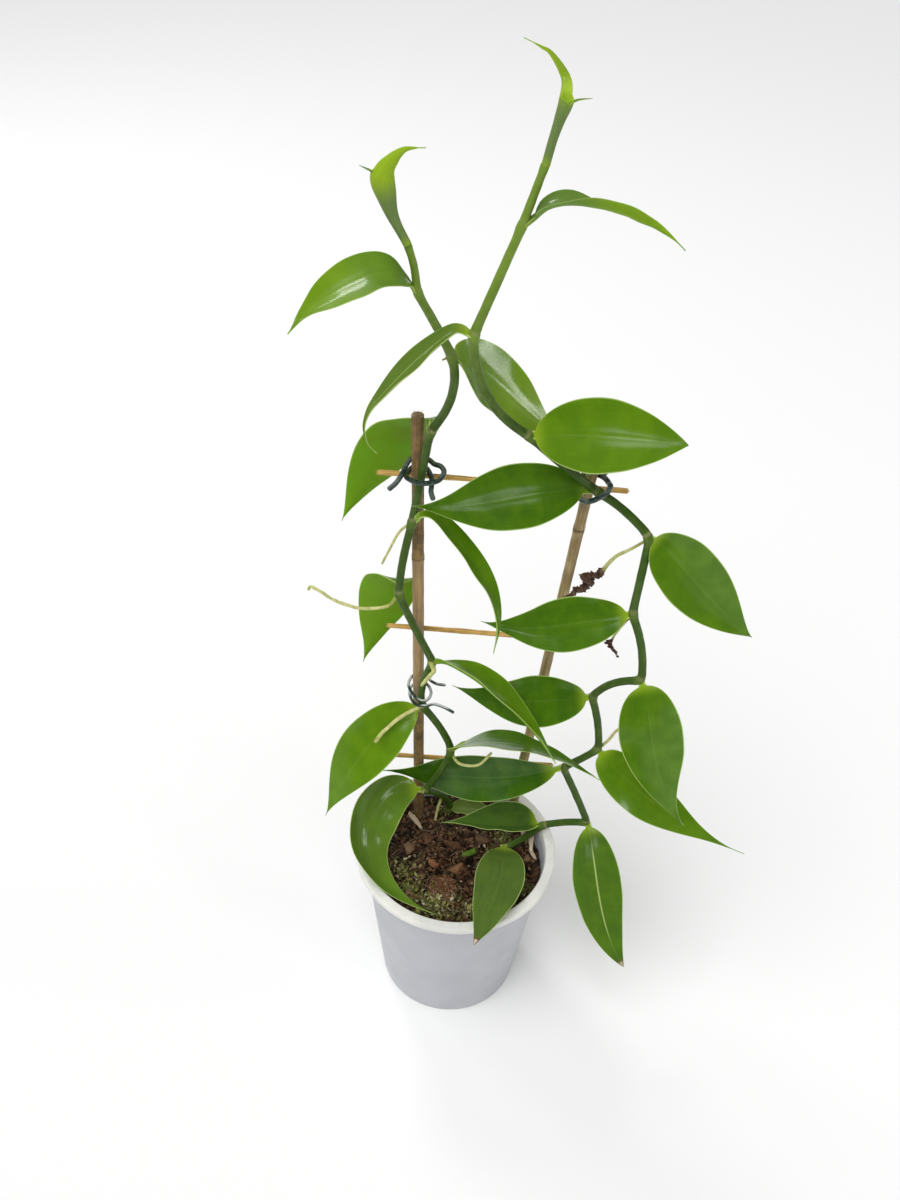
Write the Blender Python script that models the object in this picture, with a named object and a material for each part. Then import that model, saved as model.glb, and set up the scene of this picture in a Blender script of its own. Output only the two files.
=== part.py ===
"""A vanilla orchid trained up a bamboo ladder in a round nursery pot.

Metres, +Z up. The origin is the middle of the pot's flat underside, and the plant is seen from -Y.
Places along the vines, leaves and roots are written in millimetres and go through place().
"""

import math
from typing import NamedTuple

import bmesh
import bpy
from mathutils import Vector, noise

MM = 0.001
GAP = 0.0003  # left between pieces that touch

# Pot: an injection-moulded nursery pot, 12 cm across the rim
POT_HEIGHT = 0.110
RIM_RADIUS = 0.060
RIM_INNER_RADIUS = 0.0540
RIM_LIP = 0.0040
WALL_TOP_RADIUS = 0.0553
WALL_STEP_Z = 0.090
WALL_STEP = 0.0006
BASE_RADIUS = 0.0425
WALL = 0.0012
FLOOR = 0.0018
POT_SIDES = 40
POT_EDGE = 0.0006
DRAIN_HOLES = 6
DRAIN_HOLE_RADIUS = 0.0035
DRAIN_HOLE_SIDES = 12
DRAIN_RING_RADIUS = 0.028

# Potting mix
SOIL_Z = 0.098
SOIL_RELIEF = 0.0026
SOIL_RINGS = 7
COARSE_BARK = 130
FINE_BARK = 260
SLOW_SWELL = 45

# Ladder: two canes, joined by rungs behind them
CANE_LEFT_RADIUS = 0.0031
CANE_RIGHT_RADIUS = 0.0028
CANE_FOOT_Z = 0.074
CANE_TOP_Z = 0.390
CANE_SIDES = 10
KNUCKLE_SWELL = 1.13
KNUCKLE_REACH = 0.0045
KNUCKLE_RIDGE = 0.0012
KNUCKLES_LEFT = (0.083, 0.196, 0.305)
KNUCKLES_RIGHT = (0.118, 0.225, 0.331)
RUNG_RADIUS = 0.0015
RUNG_SIDES = 6

# Vines
STEM_RADIUS = 0.0021
NODE_SWELL = 0.0004
STEM_SIDES = 8
STEPS_PER_INTERNODE = 4

# Leaves
LEAF_STATIONS = 11
LEAF_ACROSS = 4
BLADE_THICKNESS = 0.0011
EDGE_THICKNESS = 0.0007
PETIOLE_THICKNESS = 0.0026
TIP_HALF_WIDTH = 0.0004
BASE_POWER = 0.72
ROLLED_LEAF_ACROSS = 8

# Roots, crumbs and ties
ROOT_SIDES = 6
ROOT_TIP = 0.6
CRUMB_SIDES = 7
CRUMB_RELIEF = 0.0007
CRUMB_GRAIN = 400
CRUMB_SEED = 1796067491  # without one, the crumbs come out differently in every build
TIE_SIDES = 5


def place(x, y, z):
    """A point given in millimetres, in metres."""
    return Vector((x, y, z)) * MM


CANE_LEFT = (place(-24, 31.5, 74), place(-33.5, 26, 390))
CANE_RIGHT = (place(29.9, 31.5, 74), place(53.8, 26, 390))


class Joint(NamedTuple):
    """One node of a vine: where it is, how far the stretch below it bows, and the stem's radius there."""

    at: tuple
    bow: tuple = (0, 0, 0)
    radius: float = STEM_RADIUS


VINE_A = (
    Joint((-6, 38, 66)),
    Joint((-6, 36, 101)),
    Joint((-22, 18.6, 136), (4, 2, 5)),
    Joint((-7, 19, 172), (2, 0, 0)),
    Joint((-25, 22, 203), (3, -1, 0)),
    Joint((-20, 20, 239), (-3, -1, 0)),
    Joint((-40, 19, 286), (0, -1, 0)),
    Joint((-34, 20, 332), (-1, -1, 0)),
    Joint((-27, 20, 385), (0, 1, 0)),
    Joint((-18, 8, 431), (5, 0, 0)),
    Joint((-34, 2, 463), (1, 0, -1), 0.0018),
    Joint((-38, -2, 485), (1, 0, 0), 0.0015),
    Joint((-38.5, -2.2, 487), (0, 0, 0), 0.0008),
    Joint((-45, -4, 505), (-1, 0, 0), 0.0008),
    Joint((-50, -5, 514), (0, 0, 0), 0.0007),
    Joint((-57, -6, 517), (0, 0, 0), 0.0003),
)

VINE_B = (
    Joint((20, 6, 70)),
    Joint((29, 10, 99)),
    Joint((51, 17, 115), (0, 0, -2)),
    Joint((78, 16, 122), (0, 0, 1.5)),
    Joint((58, 14, 171), (0.5, 0, 0)),
    Joint((76, 12, 190), (0, 0, -1)),
    Joint((67, 8, 234), (1.5, 0, 0)),
    Joint((89, -5, 260), (-2, 0, 4)),
    Joint((79, 0, 300), (2.5, 0, 0)),
    Joint((82, 8, 342)),
    Joint((55, 19, 359), (1, 0, 1.5)),
    Joint((19, 10, 393), (1, -1, -1)),
    Joint((-9, -12, 452), (-6, 0, -5)),
    Joint((7, -18, 502), (0, 0, 0), 0.0018),
    Joint((13.6, -22, 527.5), (0, 0, 0), 0.0015),
    Joint((14, -22, 529), (0, 0, 0), 0.0008),
    Joint((17.5, -22, 546), (0, 0, 0), 0.0008),
    Joint((21, -22, 551.3), (0, 0, 0), 0.0006),
    Joint((28, -22, 552), (0, 0, 0), 0.0003),
)


class Leaf(NamedTuple):
    """One leaf. reach is base to tip, bend_a and bend_b push the midrib's two handles, and face is the way
    that the upper side looks, all in millimetres or as a direction. width is the flat blade's. curl is the
    angle in degrees through which each half of the blade turns up from the midrib, and stalk is half the
    width where the leaf leaves the vine."""

    name: str
    base: tuple
    reach: tuple
    width: float
    face: tuple
    bend_a: tuple = (0, 0, 0)
    bend_b: tuple = (0, 0, 0)
    face_tip: tuple = None
    curl: float = 20
    curl_tip: float = None
    belly: float = 0.40
    tip_power: float = 1.5
    petiole: float = 0.04
    stalk: float = 1.9


LEAVES_A = (
    Leaf("a0", (-6, 36, 103), (31, -6, 2), 16, (0, -0.5, 0.9), (0, 0, 4), (0, 0, 4)),
    Leaf("a1", VINE_A[2].at, (13, -63, -34), 33, (0.6, -0.2, 0.75), (-37, 12, 28), (-62, -6, -2), curl=35),
    Leaf("a2", VINE_A[3].at, (84, -25, 12), 28, (0, 0.36, 0.9), (-4, 0, 22), (4, 0, 16)),
    Leaf("a3", VINE_A[4].at, (-52, -31, -64), 34, (-0.1, -0.85, 0.5), (-9, -3, 17), (-6, -4, 9)),
    Leaf("a4", VINE_A[5].at, (70, -40, -30), 26, (0.5, 0.2, 0.8), (-3, -2, 25), (7, -2, 14), curl=38),
    Leaf(
        "a5", VINE_A[6].at, (-22, 30, -77), 32, (0, 0.3, 1), (7, 14, 39), (1, 8, 10),
        face_tip=(0, 1.6, -0.3), petiole=0.1,
    ),
    Leaf(
        "a6", VINE_A[7].at, (45, -45, -45), 24, (0.75, -0.2, 0.6), (0, -8, 42), (17, -8, 19),
        face_tip=(0.8, 0.1, 0.5), curl=32,
    ),
    Leaf(
        "a7", VINE_A[8].at, (-46, 26, -74), 38, (-0.2, 0.3, 1), (22, 22, 31), (-3, 16, 8),
        face_tip=(-0.4, 1.4, -0.1), petiole=0.16,
    ),
    Leaf("a8", VINE_A[9].at, (54, 33, -57), 30, (0.2, -0.6, 0.75), (-9, 6, 12), (-1, 0, -1), tip_power=1.3),
    Leaf("a9", VINE_A[10].at, (-49, -32, -7), 31, (-0.35, -0.15, 0.9), (3, 2, 25), (-9, -2, 10), belly=0.34),
    Leaf(
        "a10", (-38, -2, 487), (6, -3, 38), 19, (-1, -0.3, 0.2), (-12, 0, 0), (-15, 0, 9),
        curl=160, curl_tip=50, belly=0.5, tip_power=1.8, stalk=4.5,
    ),
)

LEAVES_B = (
    Leaf("b0", (29, 10, 101), (-15, -82, 14), 29, (0, -0.3, 0.95), (6, -2, 13), (5, 2, 5)),
    Leaf("b1", VINE_B[2].at, (-61, -3, -1), 28, (0, 0.11, 0.99), (0, 0, -5), (0, 0, 0), curl=70),
    Leaf("b2", VINE_B[3].at, (28, -56, -63), 29, (0, -0.75, 0.65), (-2, -4, 9), (-10, -2, -1), tip_power=1),
    Leaf(
        "b3", VINE_B[4].at, (-106.5, 10, -26), 31, (0, -0.75, 0.6), (0, -4, -13), (0, 11.4, -14),
        face_tip=(0, -1, 0), curl_tip=6, belly=0.44, tip_power=1.9,
    ),
    Leaf(
        "b4", VINE_B[5].at, (87, -32, -42), 27, (-0.1, -0.7, 0.7), (-14, -2, 2), (-7, 0, -10),
        belly=0.33, tip_power=2.3,
    ),
    Leaf("b5", VINE_B[6].at, (-76, 13, -12), 29, (0, -0.8, 0.6), (0, -2, -4), (7, -2, -12), belly=0.37),
    Leaf("b6", VINE_B[7].at, (32, -30, -75), 34, (-0.2, -0.8, 0.55), (-2, -2, 10), (-12, -2, 0), belly=0.36),
    Leaf("b7", VINE_B[8].at, (-75, 0, -12), 28, (0, -0.8, 0.6), (0, -2, 0), (4, -2, -10)),
    Leaf("b8", VINE_B[9].at, (60, -3, -55), 32, (0, -0.85, 0.5), (-6, -2, 12), (0, -2, -5), tip_power=1.2),
    Leaf("b9", VINE_B[10].at, (-88, -22, -1), 32, (0, -0.8, 0.6), (0, -2, 9), (4, 0, -7), petiole=0.09),
    Leaf("b10", VINE_B[11].at, (71, -10, 7), 35, (0, -0.8, 0.6), (0, -2, 4), (2, 0, 2), tip_power=0.9),
    Leaf(
        "b11", VINE_B[12].at, (-37, -38, -36), 23, (-0.5, 0.1, 0.8), (0, 4, 32), (-22, -7, -10),
        curl=18, tip_power=2.0,
    ),
    Leaf(
        "b12", VINE_B[13].at, (62, -7, -1), 27, (-0.1, 0.4, 0.92), (-3, 0, 18), (3, 0, 15),
        curl=32, belly=0.29, tip_power=2.2,
    ),
    Leaf(
        "b13", (12, -21.5, 528), (-10, 0, 42.5), 8.6, (1, -0.3, 0.2), (6, 0, -2), (19, 0, 12),
        curl=160, curl_tip=60, belly=0.42, tip_power=1.8, stalk=4.3,
    ),
)


class Root(NamedTuple):
    """One aerial root: its route in millimetres and its radius at the start and at the end."""

    name: str
    vine: str
    route: tuple
    start: float = 0.9
    end: float = 0.8


ROOTS = (
    Root("a1", "a", ((-11, 31, 117), (-13, 29, 109), (-15, 27, 92))),
    Root("a2", "a", ((-7, 20, 170), (-3, 15, 167), (3, 12, 168), (10, 10, 172), (16, 10, 182))),
    Root("a3", "a", ((-22, 21.3, 199), (-24, 15, 201.5), (-30, 12.5, 205.5), (-37, 9, 207), (-43, 4, 206),
                     (-48, -1, 198)), 1.1, 1.1),
    Root("a4", "a", ((-20, 20, 234), (-15.5, 15.5, 235), (-17, 14, 231), (-20, 13.5, 225)), 1.4, 0.7),
    Root(
        "a5", "a",
        ((-40, 19, 286), (-44, 16, 281), (-50, 15, 279), (-61, 15, 278), (-73, 15, 282), (-80, 16, 286),
         (-86, 18, 287)),
    ),
    Root("a6", "a", ((-34, 20, 332), (-40, 20, 326), (-44, 20, 317), (-49, 22, 303)), 0.8, 0.6),
    Root("b4", "b", ((76, 12, 190), (81, 13, 197), (85, 15, 203), (91, 18, 204))),
    Root("b7", "b", ((79, 0, 300), (76, 4, 290), (74, 8, 281), (73, 10, 275)), 0.8, 0.7),
    Root("b8", "b", ((82, 8, 342), (75, 12, 332), (69, 16, 324), (66, 19, 317), (64, 21, 311)), 0.9, 1.0),
)

STUB = ((2, 0, 84), (4, 2, 96), (12, 5, 101))

# Old bark that the roots still hold: the clump's spine and radius, in millimetres
CLUMPS = {
    "crumbs_high": (
        ((63.6, 21.4, 310.2), 1.4), ((61, 22, 306), 3.4), ((57, 22.5, 303), 3.9), ((54.5, 21.5, 298), 2.6),
        ((51.5, 20.5, 294), 3.3), ((48, 19.5, 290.5), 1.6),
    ),
    "crumbs_low": (
        ((72.9, 10.2, 274.2), 1.2), ((71, 11, 270), 2.4), ((74, 11, 267), 1.8), ((77, 11, 262), 0.9),
    ),
}

# Ties, as routes in millimetres, and each one's radius
TIES = {
    "tie_top_left": (
        1.3,
        ((-45.3, 14, 355), (-42.2, 16, 357.4), (-39.4, 20, 360.8), (-38, 26, 362.2), (-36, 30.3, 362.8),
         (-32, 32.4, 363), (-27.5, 30.2, 362.8), (-24.6, 26.5, 363), (-21.2, 22.5, 364.5),
         (-19.4, 18.5, 364), (-21.3, 16.2, 361), (-25, 16.2, 359), (-29, 16.5, 358), (-33, 16.6, 358.4),
         (-36.4, 18, 359), (-37.8, 21.5, 357.8), (-37.6, 26, 357), (-35.6, 30.6, 357.4), (-32, 32.3, 357.8),
         (-28.4, 30.8, 357.2), (-25.9, 26.5, 355.5), (-25.2, 21.5, 354.2), (-25.2, 18, 352.4),
         (-23.9, 15, 350.4)),
    ),
    "tie_top_right": (
        1.4,
        ((56.5, 19.5, 368.5), (58.2, 25, 367.6), (56, 30, 366.5), (52.5, 31.2, 365), (48.6, 30, 362.5),
         (46.8, 25.5, 358.4), (45.8, 21, 355.4), (48.4, 16.2, 355), (52.1, 13.2, 357.4), (55.7, 12.4, 360.4),
         (58.6, 12.6, 363), (60.2, 15.5, 364.6), (60, 20.5, 363.2), (58.3, 26, 362.4), (55.5, 30, 361.5),
         (52, 31.3, 361)),
    ),
    "tie_lower": (
        0.85,
        ((-13, 16, 226.6), (-17.3, 19, 224.1), (-21, 25, 220.5), (-23.6, 31, 218), (-27.5, 33.6, 217),
         (-31.4, 32.4, 216.6), (-33.4, 28, 216.4), (-33.1, 22.5, 217), (-30, 17.6, 215.5),
         (-27, 16.6, 213.4), (-23.4, 16.8, 212.6), (-21, 19.5, 213.2), (-20.6, 24, 213.2),
         (-22.6, 29.5, 212.4), (-26, 33.4, 211.2), (-29.6, 33.4, 210.2), (-32.6, 30.8, 209),
         (-32.8, 26.2, 208.2), (-30.6, 20.5, 207.9), (-27.4, 17.2, 208.5), (-22.5, 15.6, 210),
         (-18.2, 13.8, 213.5), (-12.7, 12.5, 213), (-7.1, 11, 211)),
    ),
}


def remove_everything():
    for old in list(bpy.data.objects):
        bpy.data.objects.remove(old)


def material(name, colour, roughness, metallic=0.0):
    made = bpy.data.materials.new(name)
    made.use_nodes = True
    shader = made.node_tree.nodes["Principled BSDF"]
    shader.inputs["Base Color"].default_value = (*colour, 1.0)
    shader.inputs["Roughness"].default_value = roughness
    shader.inputs["Metallic"].default_value = metallic
    return made


def solid(name, points, faces, finish, smooth=True):
    """An object from points and faces, with its normals pointing out."""
    mesh = bpy.data.meshes.new(name)
    mesh.from_pydata([tuple(p) for p in points], [], faces)
    work = bmesh.new()
    work.from_mesh(mesh)
    bmesh.ops.recalc_face_normals(work, faces=work.faces)
    work.to_mesh(mesh)
    work.free()
    if smooth:
        mesh.shade_smooth()
        mesh.set_sharp_from_angle(angle=math.radians(50))
    mesh.materials.append(finish)
    made = bpy.data.objects.new(name, mesh)
    bpy.context.scene.collection.objects.link(made)
    return made


def hide(cutter):
    cutter.hide_render = True
    cutter.display_type = "WIRE"
    return cutter


def subtract(target, cutter):
    cut = target.modifiers.new("Clear of " + cutter.name, "BOOLEAN")
    cut.operation = "DIFFERENCE"
    cut.solver = "EXACT"
    cut.object = cutter


def tube_mesh(points, radii, sides):
    """Points and faces of a closed tube whose rings don't twist."""
    count = len(points)
    tangents = []
    for i in range(count):
        along = points[min(i + 1, count - 1)] - points[max(i - 1, 0)]
        tangents.append(along.normalized())
    side = tangents[0].orthogonal().normalized()
    rings = []
    for i in range(count):
        if i:
            side = tangents[i - 1].rotation_difference(tangents[i]) @ side
            side = (side - tangents[i] * side.dot(tangents[i])).normalized()
        other = tangents[i].cross(side)
        for k in range(sides):
            angle = 2 * math.pi * k / sides
            rings.append(points[i] + (side * math.cos(angle) + other * math.sin(angle)) * radii[i])
    faces = []
    for i in range(count - 1):
        for k in range(sides):
            a, b = i * sides + k, i * sides + (k + 1) % sides
            faces.append((a, b, b + sides, a + sides))
    faces.append(tuple(range(sides - 1, -1, -1)))
    faces.append(tuple(range((count - 1) * sides, count * sides)))
    return rings, faces


def tube(name, points, radii, sides, finish):
    return solid(name, *tube_mesh(points, radii, sides), finish)


def smooth_route(points, steps):
    """A Catmull-Rom curve through points, with a number of steps in each stretch."""
    held = [points[0] * 2 - points[1], *points, points[-1] * 2 - points[-2]]
    route = []
    for i in range(1, len(held) - 2):
        a, b, c, d = held[i - 1 : i + 3]
        for step in range(steps):
            t = step / steps
            square = (2 * a - 5 * b + 4 * c - d) * t**2
            cube = (3 * b - a - 3 * c + d) * t**3
            route.append((2 * b + (c - a) * t + square + cube) / 2)
    return [*route, points[-1]]


def lathe_mesh(profile, sides):
    """Points and faces of a closed outline turned about Z."""
    points = [
        Vector((r * math.cos(2 * math.pi * k / sides), r * math.sin(2 * math.pi * k / sides), z))
        for r, z in profile
        for k in range(sides)
    ]
    faces = []
    for i in range(len(profile)):
        j = (i + 1) % len(profile)
        for k in range(sides):
            n = (k + 1) % sides
            faces.append((i * sides + k, i * sides + n, j * sides + n, j * sides + k))
    return points, faces


def wall_radius(z):
    """Outer radius of the pot's wall, which leans out evenly and steps in once below the rim."""
    share = z / (POT_HEIGHT - RIM_LIP)
    return BASE_RADIUS + (WALL_TOP_RADIUS - BASE_RADIUS) * share - (WALL_STEP if z < WALL_STEP_Z else 0.0)


def pot(finish):
    """A cup turned from its wall's outline, closed by its floor, with drain holes through the floor."""
    lip_z = POT_HEIGHT - RIM_LIP
    outline = [
        (wall_radius(0) - POT_EDGE, 0.0),
        (wall_radius(POT_EDGE), POT_EDGE),
        (wall_radius(WALL_STEP_Z - POT_EDGE), WALL_STEP_Z - POT_EDGE),
        (wall_radius(WALL_STEP_Z + POT_EDGE), WALL_STEP_Z + POT_EDGE),
        (WALL_TOP_RADIUS, POT_HEIGHT - WALL),
        (RIM_RADIUS - WALL, POT_HEIGHT - WALL),
        (RIM_RADIUS - WALL, lip_z),
        (RIM_RADIUS, lip_z),
        (RIM_RADIUS, POT_HEIGHT - 2 * POT_EDGE),
        (RIM_RADIUS - 2 * POT_EDGE, POT_HEIGHT),
        (RIM_INNER_RADIUS + POT_EDGE, POT_HEIGHT),
        (RIM_INNER_RADIUS, POT_HEIGHT - 2 * POT_EDGE),
        (wall_radius(FLOOR) - WALL, FLOOR),
    ]
    points, faces = lathe_mesh(outline, POT_SIDES)
    last = (len(outline) - 1) * POT_SIDES
    faces = faces[:-POT_SIDES]
    faces.append(tuple(range(POT_SIDES - 1, -1, -1)))
    faces.append(tuple(range(last, last + POT_SIDES)))
    made = solid("pot", points, faces, finish)
    for k in range(DRAIN_HOLES):
        angle = 2 * math.pi * (k + 0.5) / DRAIN_HOLES
        centre = Vector((math.cos(angle), math.sin(angle), 0)) * DRAIN_RING_RADIUS
        route = [centre - Vector((0, 0, FLOOR)), centre + Vector((0, 0, 2 * FLOOR))]
        drill = tube(f"drain_{k}", route, [DRAIN_HOLE_RADIUS] * 2, DRAIN_HOLE_SIDES, finish)
        subtract(made, hide(drill))
    return made


def soil_height(x, y):
    """The lumpy top of the potting mix: coarse bark over a slow swell."""
    where = Vector((x, y, SOIL_Z))
    lumps = 0.7 * noise.noise(where * COARSE_BARK) + 0.4 * noise.noise(where * FINE_BARK)
    return SOIL_Z + SOIL_RELIEF * (lumps + 0.6 * noise.noise(where * SLOW_SWELL))


def soil(finish, cutters):
    """The potting mix fills the pot to just under the rim. What stands in it has its own hole."""
    foot_z = FLOOR + GAP
    inner_foot = wall_radius(FLOOR) - WALL
    lean = (RIM_INNER_RADIUS - inner_foot) / (POT_HEIGHT - FLOOR)
    foot_radius = inner_foot + lean * GAP - 2 * GAP
    top_radius = inner_foot + lean * (SOIL_Z - SOIL_RELIEF - FLOOR) - 2 * GAP
    points = [Vector((0, 0, soil_height(0, 0)))]
    for ring in range(1, SOIL_RINGS + 1):
        r = top_radius * ring / SOIL_RINGS
        for k in range(POT_SIDES):
            angle = 2 * math.pi * k / POT_SIDES
            x, y = r * math.cos(angle), r * math.sin(angle)
            edge = ring == SOIL_RINGS
            points.append(Vector((x, y, SOIL_Z - SOIL_RELIEF if edge else soil_height(x, y))))
    for k in range(POT_SIDES):
        angle = 2 * math.pi * k / POT_SIDES
        points.append(Vector((foot_radius * math.cos(angle), foot_radius * math.sin(angle), foot_z)))
    faces = [(0, 1 + k, 1 + (k + 1) % POT_SIDES) for k in range(POT_SIDES)]
    for ring in range(SOIL_RINGS):
        a = 1 + ring * POT_SIDES
        for k in range(POT_SIDES):
            n = (k + 1) % POT_SIDES
            faces.append((a + k, a + POT_SIDES + k, a + POT_SIDES + n, a + n))
    last = 1 + SOIL_RINGS * POT_SIDES
    faces.append(tuple(range(last + POT_SIDES - 1, last - 1, -1)))
    made = solid("soil", points, faces, finish, smooth=False)
    for cutter in cutters:
        subtract(made, cutter)
    return made


def cane_point(foot, top, z):
    share = (z - foot.z) / (top.z - foot.z)
    return foot.lerp(top, share)


def cane(name, ends, radius, knuckles, finish):
    """A bamboo cane with a slight swelling at each knuckle."""
    foot, top = ends
    heights = [CANE_FOOT_Z, CANE_TOP_Z]
    for z in knuckles:
        heights += [z - KNUCKLE_REACH, z - KNUCKLE_RIDGE, z, z + KNUCKLE_RIDGE, z + KNUCKLE_REACH]
    heights.sort()
    points = [cane_point(foot, top, z) for z in heights]
    radii = [radius * (KNUCKLE_SWELL if z in knuckles else 1.0) for z in heights]
    return tube(name, points, radii, CANE_SIDES, finish)


def rung(name, left, right, finish):
    """A thin stick across the backs of both canes. Its ends are given as x and z."""
    ends = []
    for (x, z), cane_ends, radius in (
        (left, CANE_LEFT, CANE_LEFT_RADIUS),
        (right, CANE_RIGHT, CANE_RIGHT_RADIUS),
    ):
        ends.append(Vector((x, cane_point(*cane_ends, z).y + radius + GAP + RUNG_RADIUS, z)))
    return tube(name, ends, [RUNG_RADIUS] * 2, RUNG_SIDES, finish)


def vine_route(joints):
    """Points and radii along a vine. Each stretch bows out evenly and swells a little into its node."""
    points, radii = [], []
    for below, above in zip(joints, joints[1:]):
        start, end, bow = place(*below.at), place(*above.at), place(*above.bow)
        for step in range(STEPS_PER_INTERNODE):
            t = step / STEPS_PER_INTERNODE
            points.append(start.lerp(end, t) + bow * 4 * t * (1 - t))
            swell = NODE_SWELL if step == 0 else 0.0
            radii.append(below.radius + (above.radius - below.radius) * t + swell)
    points.append(place(*joints[-1].at))
    radii.append(joints[-1].radius)
    return points, radii


def vine(name, joints, finish, extra=0.0):
    points, radii = vine_route(joints)
    return tube(name, points, [r + extra for r in radii], STEM_SIDES, finish)


def bezier(handles, t):
    a, b, c, d = handles
    u = 1 - t
    return a * u**3 + b * 3 * u * u * t + c * 3 * u * t * t + d * t**3


def leaf_half_width(leaf, t):
    """Half the flat blade's width at a share t of its length: a rounded base and a long drawn-out tip."""
    blade = 0.0
    if t > leaf.petiole:
        s = (t - leaf.petiole) / (1 - leaf.petiole)
        skew = math.log(0.5) / math.log(leaf.belly)
        wave = max(math.sin(math.pi * s**skew), 0.0)
        blade = leaf.width * MM / 2 * wave ** (BASE_POWER + (leaf.tip_power - BASE_POWER) * s)
    stalk = leaf.stalk * MM * max(1 - t * 1.2, 0.0)
    return max(math.hypot(blade, stalk), TIP_HALF_WIDTH)


def leaf_frame(leaf, t):
    """The midrib's point, the direction across the blade and the direction its upper side faces."""
    base, reach = place(*leaf.base), place(*leaf.reach)
    handles = (
        base,
        base + reach / 3 + place(*leaf.bend_a),
        base + reach * 2 / 3 + place(*leaf.bend_b),
        base + reach,
    )
    step = 0.01
    along = (bezier(handles, min(t + step, 1)) - bezier(handles, max(t - step, 0))).normalized()
    face = Vector(leaf.face).lerp(Vector(leaf.face_tip or leaf.face), t)
    across = along.cross(face).normalized()
    return bezier(handles, t), across, across.cross(along)


def leaf_point(leaf, t, u):
    """The middle of the blade's thickness at a share t of its length, u from -1 to 1 across it, and the
    direction its upper side faces there. The blade's section is an arc that opens upwards."""
    middle, across, normal = leaf_frame(leaf, t)
    curl_tip = leaf.curl if leaf.curl_tip is None else leaf.curl_tip
    curl = math.radians(leaf.curl + (curl_tip - leaf.curl) * t)
    radius = leaf_half_width(leaf, t) / curl
    angle = curl * u
    at = middle + across * (radius * math.sin(angle)) + normal * (radius * (1 - math.cos(angle)))
    return at, normal * math.cos(angle) - across * math.sin(angle)


def leaf_mesh(leaf):
    """A closed blade: both faces are the same grid of triangles, a thickness apart."""
    columns = ROLLED_LEAF_ACROSS if leaf.curl > 90 else LEAF_ACROSS
    upper, lower = [], []
    for i in range(LEAF_STATIONS + 1):
        t = i / LEAF_STATIONS
        stalk = max(1 - t / (2 * leaf.petiole), 0.0) if leaf.curl < 90 else 0.0
        for j in range(columns + 1):
            u = 2 * j / columns - 1
            thick = BLADE_THICKNESS + (EDGE_THICKNESS - BLADE_THICKNESS) * abs(u)
            thick += (PETIOLE_THICKNESS - BLADE_THICKNESS) * stalk * (1 - 0.5 * abs(u))
            at, normal = leaf_point(leaf, t, u)
            upper.append(at + normal * (thick / 2))
            lower.append(at - normal * (thick / 2))
    row = columns + 1
    size = len(upper)
    faces = []
    for i in range(LEAF_STATIONS):
        for j in range(columns):
            a = i * row + j
            b, c, d = a + 1, a + row + 1, a + row
            for corners in ((a, b, c), (a, c, d)) if j < columns / 2 else ((a, b, d), (b, c, d)):
                faces.append(corners)
                faces.append(tuple(size + k for k in reversed(corners)))
    rim = [i * row for i in range(LEAF_STATIONS + 1)]
    rim += [LEAF_STATIONS * row + j for j in range(1, row)]
    rim += [i * row + row - 1 for i in range(LEAF_STATIONS - 1, -1, -1)]
    rim += [j for j in range(row - 2, 0, -1)]
    for a, b in zip(rim, rim[1:] + rim[:1]):
        faces.append((a, b, size + b))
        faces.append((a, size + b, size + a))
    return upper + lower, faces


def leaf_blade(leaf, cutter, finish):
    made = solid("leaf_" + leaf.name, *leaf_mesh(leaf), finish)
    subtract(made, cutter)
    return made


def root(details, cutter, finish):
    """An aerial root, round and tapered, cut clear of the vine it grows from."""
    points = smooth_route([place(*p) for p in details.route], 3)
    last = len(points) - 1
    radii = [(details.start + (details.end - details.start) * i / last) * MM for i in range(last + 1)]
    radii[-1] *= ROOT_TIP
    made = tube("root_" + details.name, points, radii, ROOT_SIDES, finish)
    subtract(made, cutter)
    return made


def clump(name, spine, finish):
    """Crumbs of bark in one lump, with a spine and a radius that changes along it, and a rough skin."""
    noise.seed_set(CRUMB_SEED)
    points = smooth_route([place(*p) for p, radius in spine], 2)
    radii = smooth_route([Vector((radius * MM, 0, 0)) for p, radius in spine], 2)
    rings, faces = tube_mesh(points, [r.x for r in radii], CRUMB_SIDES)
    rough = [p + noise.noise_vector(p * CRUMB_GRAIN) * CRUMB_RELIEF for p in rings]
    return solid(name, rough, faces, finish, smooth=False)


def tie(name, radius, route, finish):
    points = smooth_route([place(*p) for p in route], 2)
    return tube(name, points, [radius * MM] * len(points), TIE_SIDES, finish)


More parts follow.
